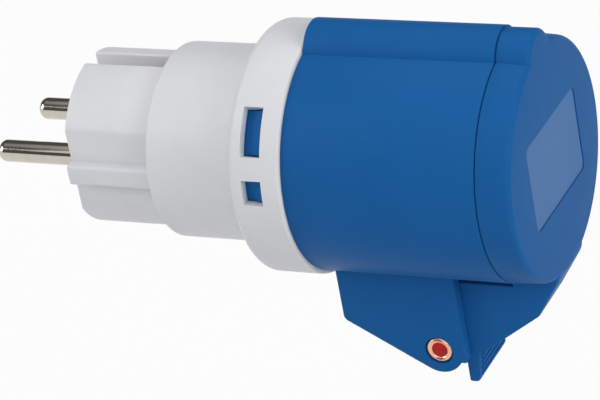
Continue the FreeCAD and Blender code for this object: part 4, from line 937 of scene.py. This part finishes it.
def arm_channel(hinge, at):
    """The space inside the arm, open towards the barrel, the bracket and the tab's back."""
    lean, rise, skin = hinge.arm_lean, hinge.arm_rise, hinge.arm_skin
    share = 1 + math.sin(lean + rise)
    inner_x = at.nose_x - skin * (math.cos(lean) + math.sin(rise)) / share
    inner_z = at.nose_z + skin * (math.sin(lean) + math.cos(rise)) / share
    ceiling = at.roof - hinge.arm_top_skin
    upper_x = inner_x + (ceiling - inner_z) * math.tan(lean)
    lower_z = inner_z - (inner_x - at.back_x) * math.tan(rise)
    top, top_end = -hinge.channel_top, at.start - hinge.arm_top_reach
    behind, below = at.x - hinge.knuckle - PAST, at.tip_z - PAST
    return cross_slab("Channel", [
        (behind, top), (top_end, top), (top_end, ceiling), (upper_x, ceiling), (inner_x, inner_z),
        (at.back_x, lower_z), (at.back_x, below), (behind, below)], hinge.arm_channel)


class ADAPTER_OT_lid(bpy.types.Operator):
    """Models the flap lid: disc, ridge end, plain panel, arm, knuckle and finger tab"""
    bl_idname = "adapter.lid"
    bl_label = "Lid"

    def execute(self, context):
        lid = part_sizes("lid")
        hinge = part_sizes("hinge")
        socket = part_sizes("socket")
        start, face = lid.start, LID_HIGH.x / MM
        piece = turned("flap_lid", [(start, 0), (start, lid.radius), (face, lid.front_radius), (face, 0)])
        round_edges(piece, lid.rim, ring_at(face, lid.front_radius), segments=6)
        round_edges(piece, lid.rear_edge, ring_at(start, lid.radius), segments=2)
        ridge_end = face - HAIR
        ridge = keyway_ridge("Ridge end", socket, start, ridge_end, lid.ridge_radius)
        round_edges(ridge, lid.rim, lambda a, b: min(a.x, b.x) > ridge_end - NEAR, segments=6)
        join_solids(piece, ridge)
        at = arm_places(hinge, start, face)
        width = 2 * hinge.arm_half
        knuckle = rod("Knuckle", (at.x, 0, at.z), hinge.knuckle, width - HAIR, "Y", steps=96)
        join_solids(piece, lid_arm(hinge, at), arm_shoulder(hinge, at), knuckle)
        for k in range(hinge.grip_ribs):
            share = hinge.grip_first + hinge.grip_step * k
            place = (at.root_x - hinge.tab_taper * share, 0, at.root_z + (at.tip_z - at.root_z) * share)
            rib_width = width - 2 * hinge.grip_inset
            join_solids(piece, rod("Grip rib", place, hinge.grip_radius, rib_width, "Y", steps=16))
        hole = rod("Pin hole", (at.x, 0, at.z), hinge.pin_hole, width + 2 * PAST, "Y", steps=48)
        cut_out(piece, arm_channel(hinge, at), hole)
        inside = face - lid.plate
        cut_out(piece, turned("Inside", [
            (start - PAST, 0), (start - PAST, lid.bore), (inside, lid.bore), (inside, 0)], steps=160))
        outer = lid.gasket_bore - lid.gasket_play
        inner = outer - lid.gasket_rib
        foot, top = inside + SMALL_LAP, inside - lid.gasket_rib_height
        rib = turned("Gasket rib", [(top, inner), (foot, inner), (foot, outer), (top, outer)], steps=128)
        join_solids(piece, rib)
        wide, high = lid.panel_width / 2, lid.panel_height / 2
        floor = face - lid.panel_depth
        panel = block("Panel", (floor, -wide, -high), (face + PAST, wide, high))
        round_edges(panel, lid.panel_corner, lambda a, b: a.x != b.x, segments=6)
        cut_out(piece, panel)
        finish_piece(piece, "blue_plastic", "lid", "lid")
        # The panel's floor gets a lighter blue, partly for its sand texture and partly as painted sheen.
        paint_faces(piece, MATERIALS["panel_texture_and_sheen"], lambda middle: (
            inside < middle.x < floor + NEAR and abs(middle.y) < wide and abs(middle.z) < high))
        return {"FINISHED"}


class ADAPTER_OT_rivet(bpy.types.Operator):
    """Models the copper hinge rivet with its rolled heads and red sealed ends"""
    bl_idname = "adapter.rivet"
    bl_label = "Hinge rivet"

    def execute(self, context):
        centre = HINGE / MM
        half = (RIVET_HIGH.y - RIVET_LOW.y) / 2 / MM
        end = [(half - back, radius) for back, radius in RIVET_END]
        outline = end + [(-along, radius) for along, radius in reversed(end)]
        rivet = turned("rivet", outline, centre=centre, axis=(0, 1, 0), steps=72)
        finish_piece(rivet, "copper", "adapter", "hinge_rivet")
        paint_faces(rivet, MATERIALS["lacquer"], lambda middle: (
            math.hypot(middle.x - centre.x, middle.z - centre.z) < SEALED_RADIUS))
        return {"FINISHED"}


# The stage


def pale_surface(name, tint):
    """A matt pale surface that the camera and reflections see as nearly white, with its shadows kept."""
    material = bpy.data.materials.new(name)
    material.use_nodes = True
    tree = material.node_tree
    tree.nodes.remove(tree.nodes["Principled BSDF"])
    diffuse = add_node(tree, "BsdfDiffuse", {"Color": tint}).outputs["BSDF"]
    glow = add_node(tree, "Emission", {"Color": (1, 1, 1, 1), "Strength": 1.0}).outputs["Emission"]
    path = add_node(tree, "LightPath").outputs
    seen = path["Is Camera Ray"]
    for ray in ("Is Glossy Ray", "Is Transmission Ray"):
        most = add_node(tree, "Math", {"operation": "MAXIMUM"}, {0: seen, 1: path[ray]})
        seen = most.outputs["Value"]
    share = add_node(tree, "Math", {"operation": "MULTIPLY", 1: FLOOR_GLOW}, {0: seen})
    mix = add_node(
        tree, "MixShader", {}, {0: share.outputs["Value"], 1: diffuse, 2: glow}).outputs["Shader"]
    tree.links.new(mix, tree.nodes["Material Output"].inputs["Surface"])
    return material


def add_floor(stage, tint):
    """A round pale floor with a low rim."""
    deselect()
    bpy.ops.mesh.primitive_circle_add(
        vertices=96, radius=FLOOR_RADIUS, fill_type="NGON", location=(0, 0, CAD_LOW.z - stage.floor_gap))
    floor = bpy.context.active_object
    floor.name = "floor"
    settle(floor)
    edit(floor)
    bpy.ops.mesh.region_to_loop()
    bpy.ops.mesh.extrude_edges_move(TRANSFORM_OT_translate={"value": (0, 0, FLOOR_RIM)})
    bpy.ops.object.mode_set(mode="OBJECT")
    floor.data.materials.append(pale_surface("Pale studio floor", tint))


def light_surroundings(scene):
    """The light from all round, dark from the walls and bright from the ceiling."""
    world = bpy.data.worlds.new("Studio")
    scene.world = world
    world.use_nodes = True
    tree = world.node_tree
    way = add_node(tree, "TexCoord").outputs["Generated"]
    height = add_node(tree, "SeparateXYZ", {}, {"Vector": way}).outputs["Z"]
    light = add_node(tree, "MapRange", {
        "From Min": WALL_TOP, "From Max": CEILING_START, "To Min": WALL_LIGHT, "To Max": CEILING_LIGHT},
        {"Value": height})
    plain = tree.nodes["Background"]
    plain.inputs["Color"].default_value = (1, 1, 1, 1)
    tree.links.new(light.outputs["Result"], plain.inputs["Strength"])


def soft_lamp(name, place, size, power):
    """A large square lamp that faces the middle of the object."""
    bpy.ops.object.light_add(type="AREA", location=place)
    lamp = bpy.context.active_object
    lamp.name = name
    lamp.data.size = size
    lamp.data.energy = power
    aim = (CAD_LOW + CAD_HIGH) / 2 - Vector(place)
    lamp.rotation_euler = aim.to_track_quat("-Z", "Y").to_euler()


def add_camera(scene, stage):
    """The camera of the photograph."""
    turn, rise = stage.azimuth, stage.elevation
    back = Vector((math.sin(turn) * math.cos(rise), -math.cos(turn) * math.cos(rise), math.sin(rise)))
    bpy.ops.object.camera_add(location=Vector(stage.target) + back * stage.distance)
    camera = bpy.context.active_object
    camera.name = "photo_camera"
    facing = (-back).to_track_quat("-Z", "Y").to_matrix().to_4x4()
    facing.translation = camera.location
    camera.matrix_world = facing
    camera.rotation_euler.rotate_axis("Z", stage.roll)
    camera.data.lens = stage.lens
    camera.data.sensor_width = SENSOR_WIDTH
    camera.data.clip_start, camera.data.clip_end = CLIP
    scene.camera = camera


class ADAPTER_OT_stage(bpy.types.Operator):
    """Sets up the floor, the light and the camera of the photograph"""
    bl_idname = "adapter.stage"
    bl_label = "Stage"

    def execute(self, context):
        scene = context.scene
        stage = scene.adapter_stage
        add_floor(stage, list(scene.adapter_finish.floor))
        light_surroundings(scene)
        for lamp in LAMPS:
            soft_lamp(*lamp)
        add_camera(scene, stage)
        scene.view_settings.view_transform = "Standard"
        return {"FINISHED"}


class ADAPTER_PT_pieces(bpy.types.Panel):
    """Lists the adapter's pieces"""
    bl_idname = "ADAPTER_PT_pieces"
    bl_label = "Mains adapter"
    bl_space_type = "VIEW_3D"
    bl_region_type = "UI"
    bl_category = "Adapter"

    def draw(self, context):
        for operator in OPERATORS:
            self.layout.operator(operator.bl_idname)
        for name, _ in GROUPS:
            box = self.layout.box()
            settings = getattr(context.scene, name)
            for key in settings.__annotations__:
                box.prop(settings, key)


GROUPS = (
    ("adapter_plug", ADAPTER_PG_plug),
    ("adapter_pins", ADAPTER_PG_pins),
    ("adapter_socket", ADAPTER_PG_socket),
    ("adapter_hinge", ADAPTER_PG_hinge),
    ("adapter_lid", ADAPTER_PG_lid),
    ("adapter_finish", ADAPTER_PG_finish),
    ("adapter_stage", ADAPTER_PG_stage),
)
OPERATORS = (
    ADAPTER_OT_materials,
    ADAPTER_OT_white_housing,
    ADAPTER_OT_pins,
    ADAPTER_OT_blue_housing,
    ADAPTER_OT_lid,
    ADAPTER_OT_rivet,
    ADAPTER_OT_stage,
)


def register():
    for name, group in GROUPS:
        bpy.utils.register_class(group)
        setattr(bpy.types.Scene, name, bpy.props.PointerProperty(type=group))
    for operator in OPERATORS:
        bpy.utils.register_class(operator)
    bpy.utils.register_class(ADAPTER_PT_pieces)


def unregister():
    bpy.utils.unregister_class(ADAPTER_PT_pieces)
    for operator in reversed(OPERATORS):
        bpy.utils.unregister_class(operator)
    for name, group in reversed(GROUPS):
        delattr(bpy.types.Scene, name)
        bpy.utils.unregister_class(group)


def main():
    register()
    for operator in OPERATORS:
        category, name = operator.bl_idname.split(".")
        getattr(getattr(bpy.ops, category), name)()


if __name__ == "__main__":
    main()
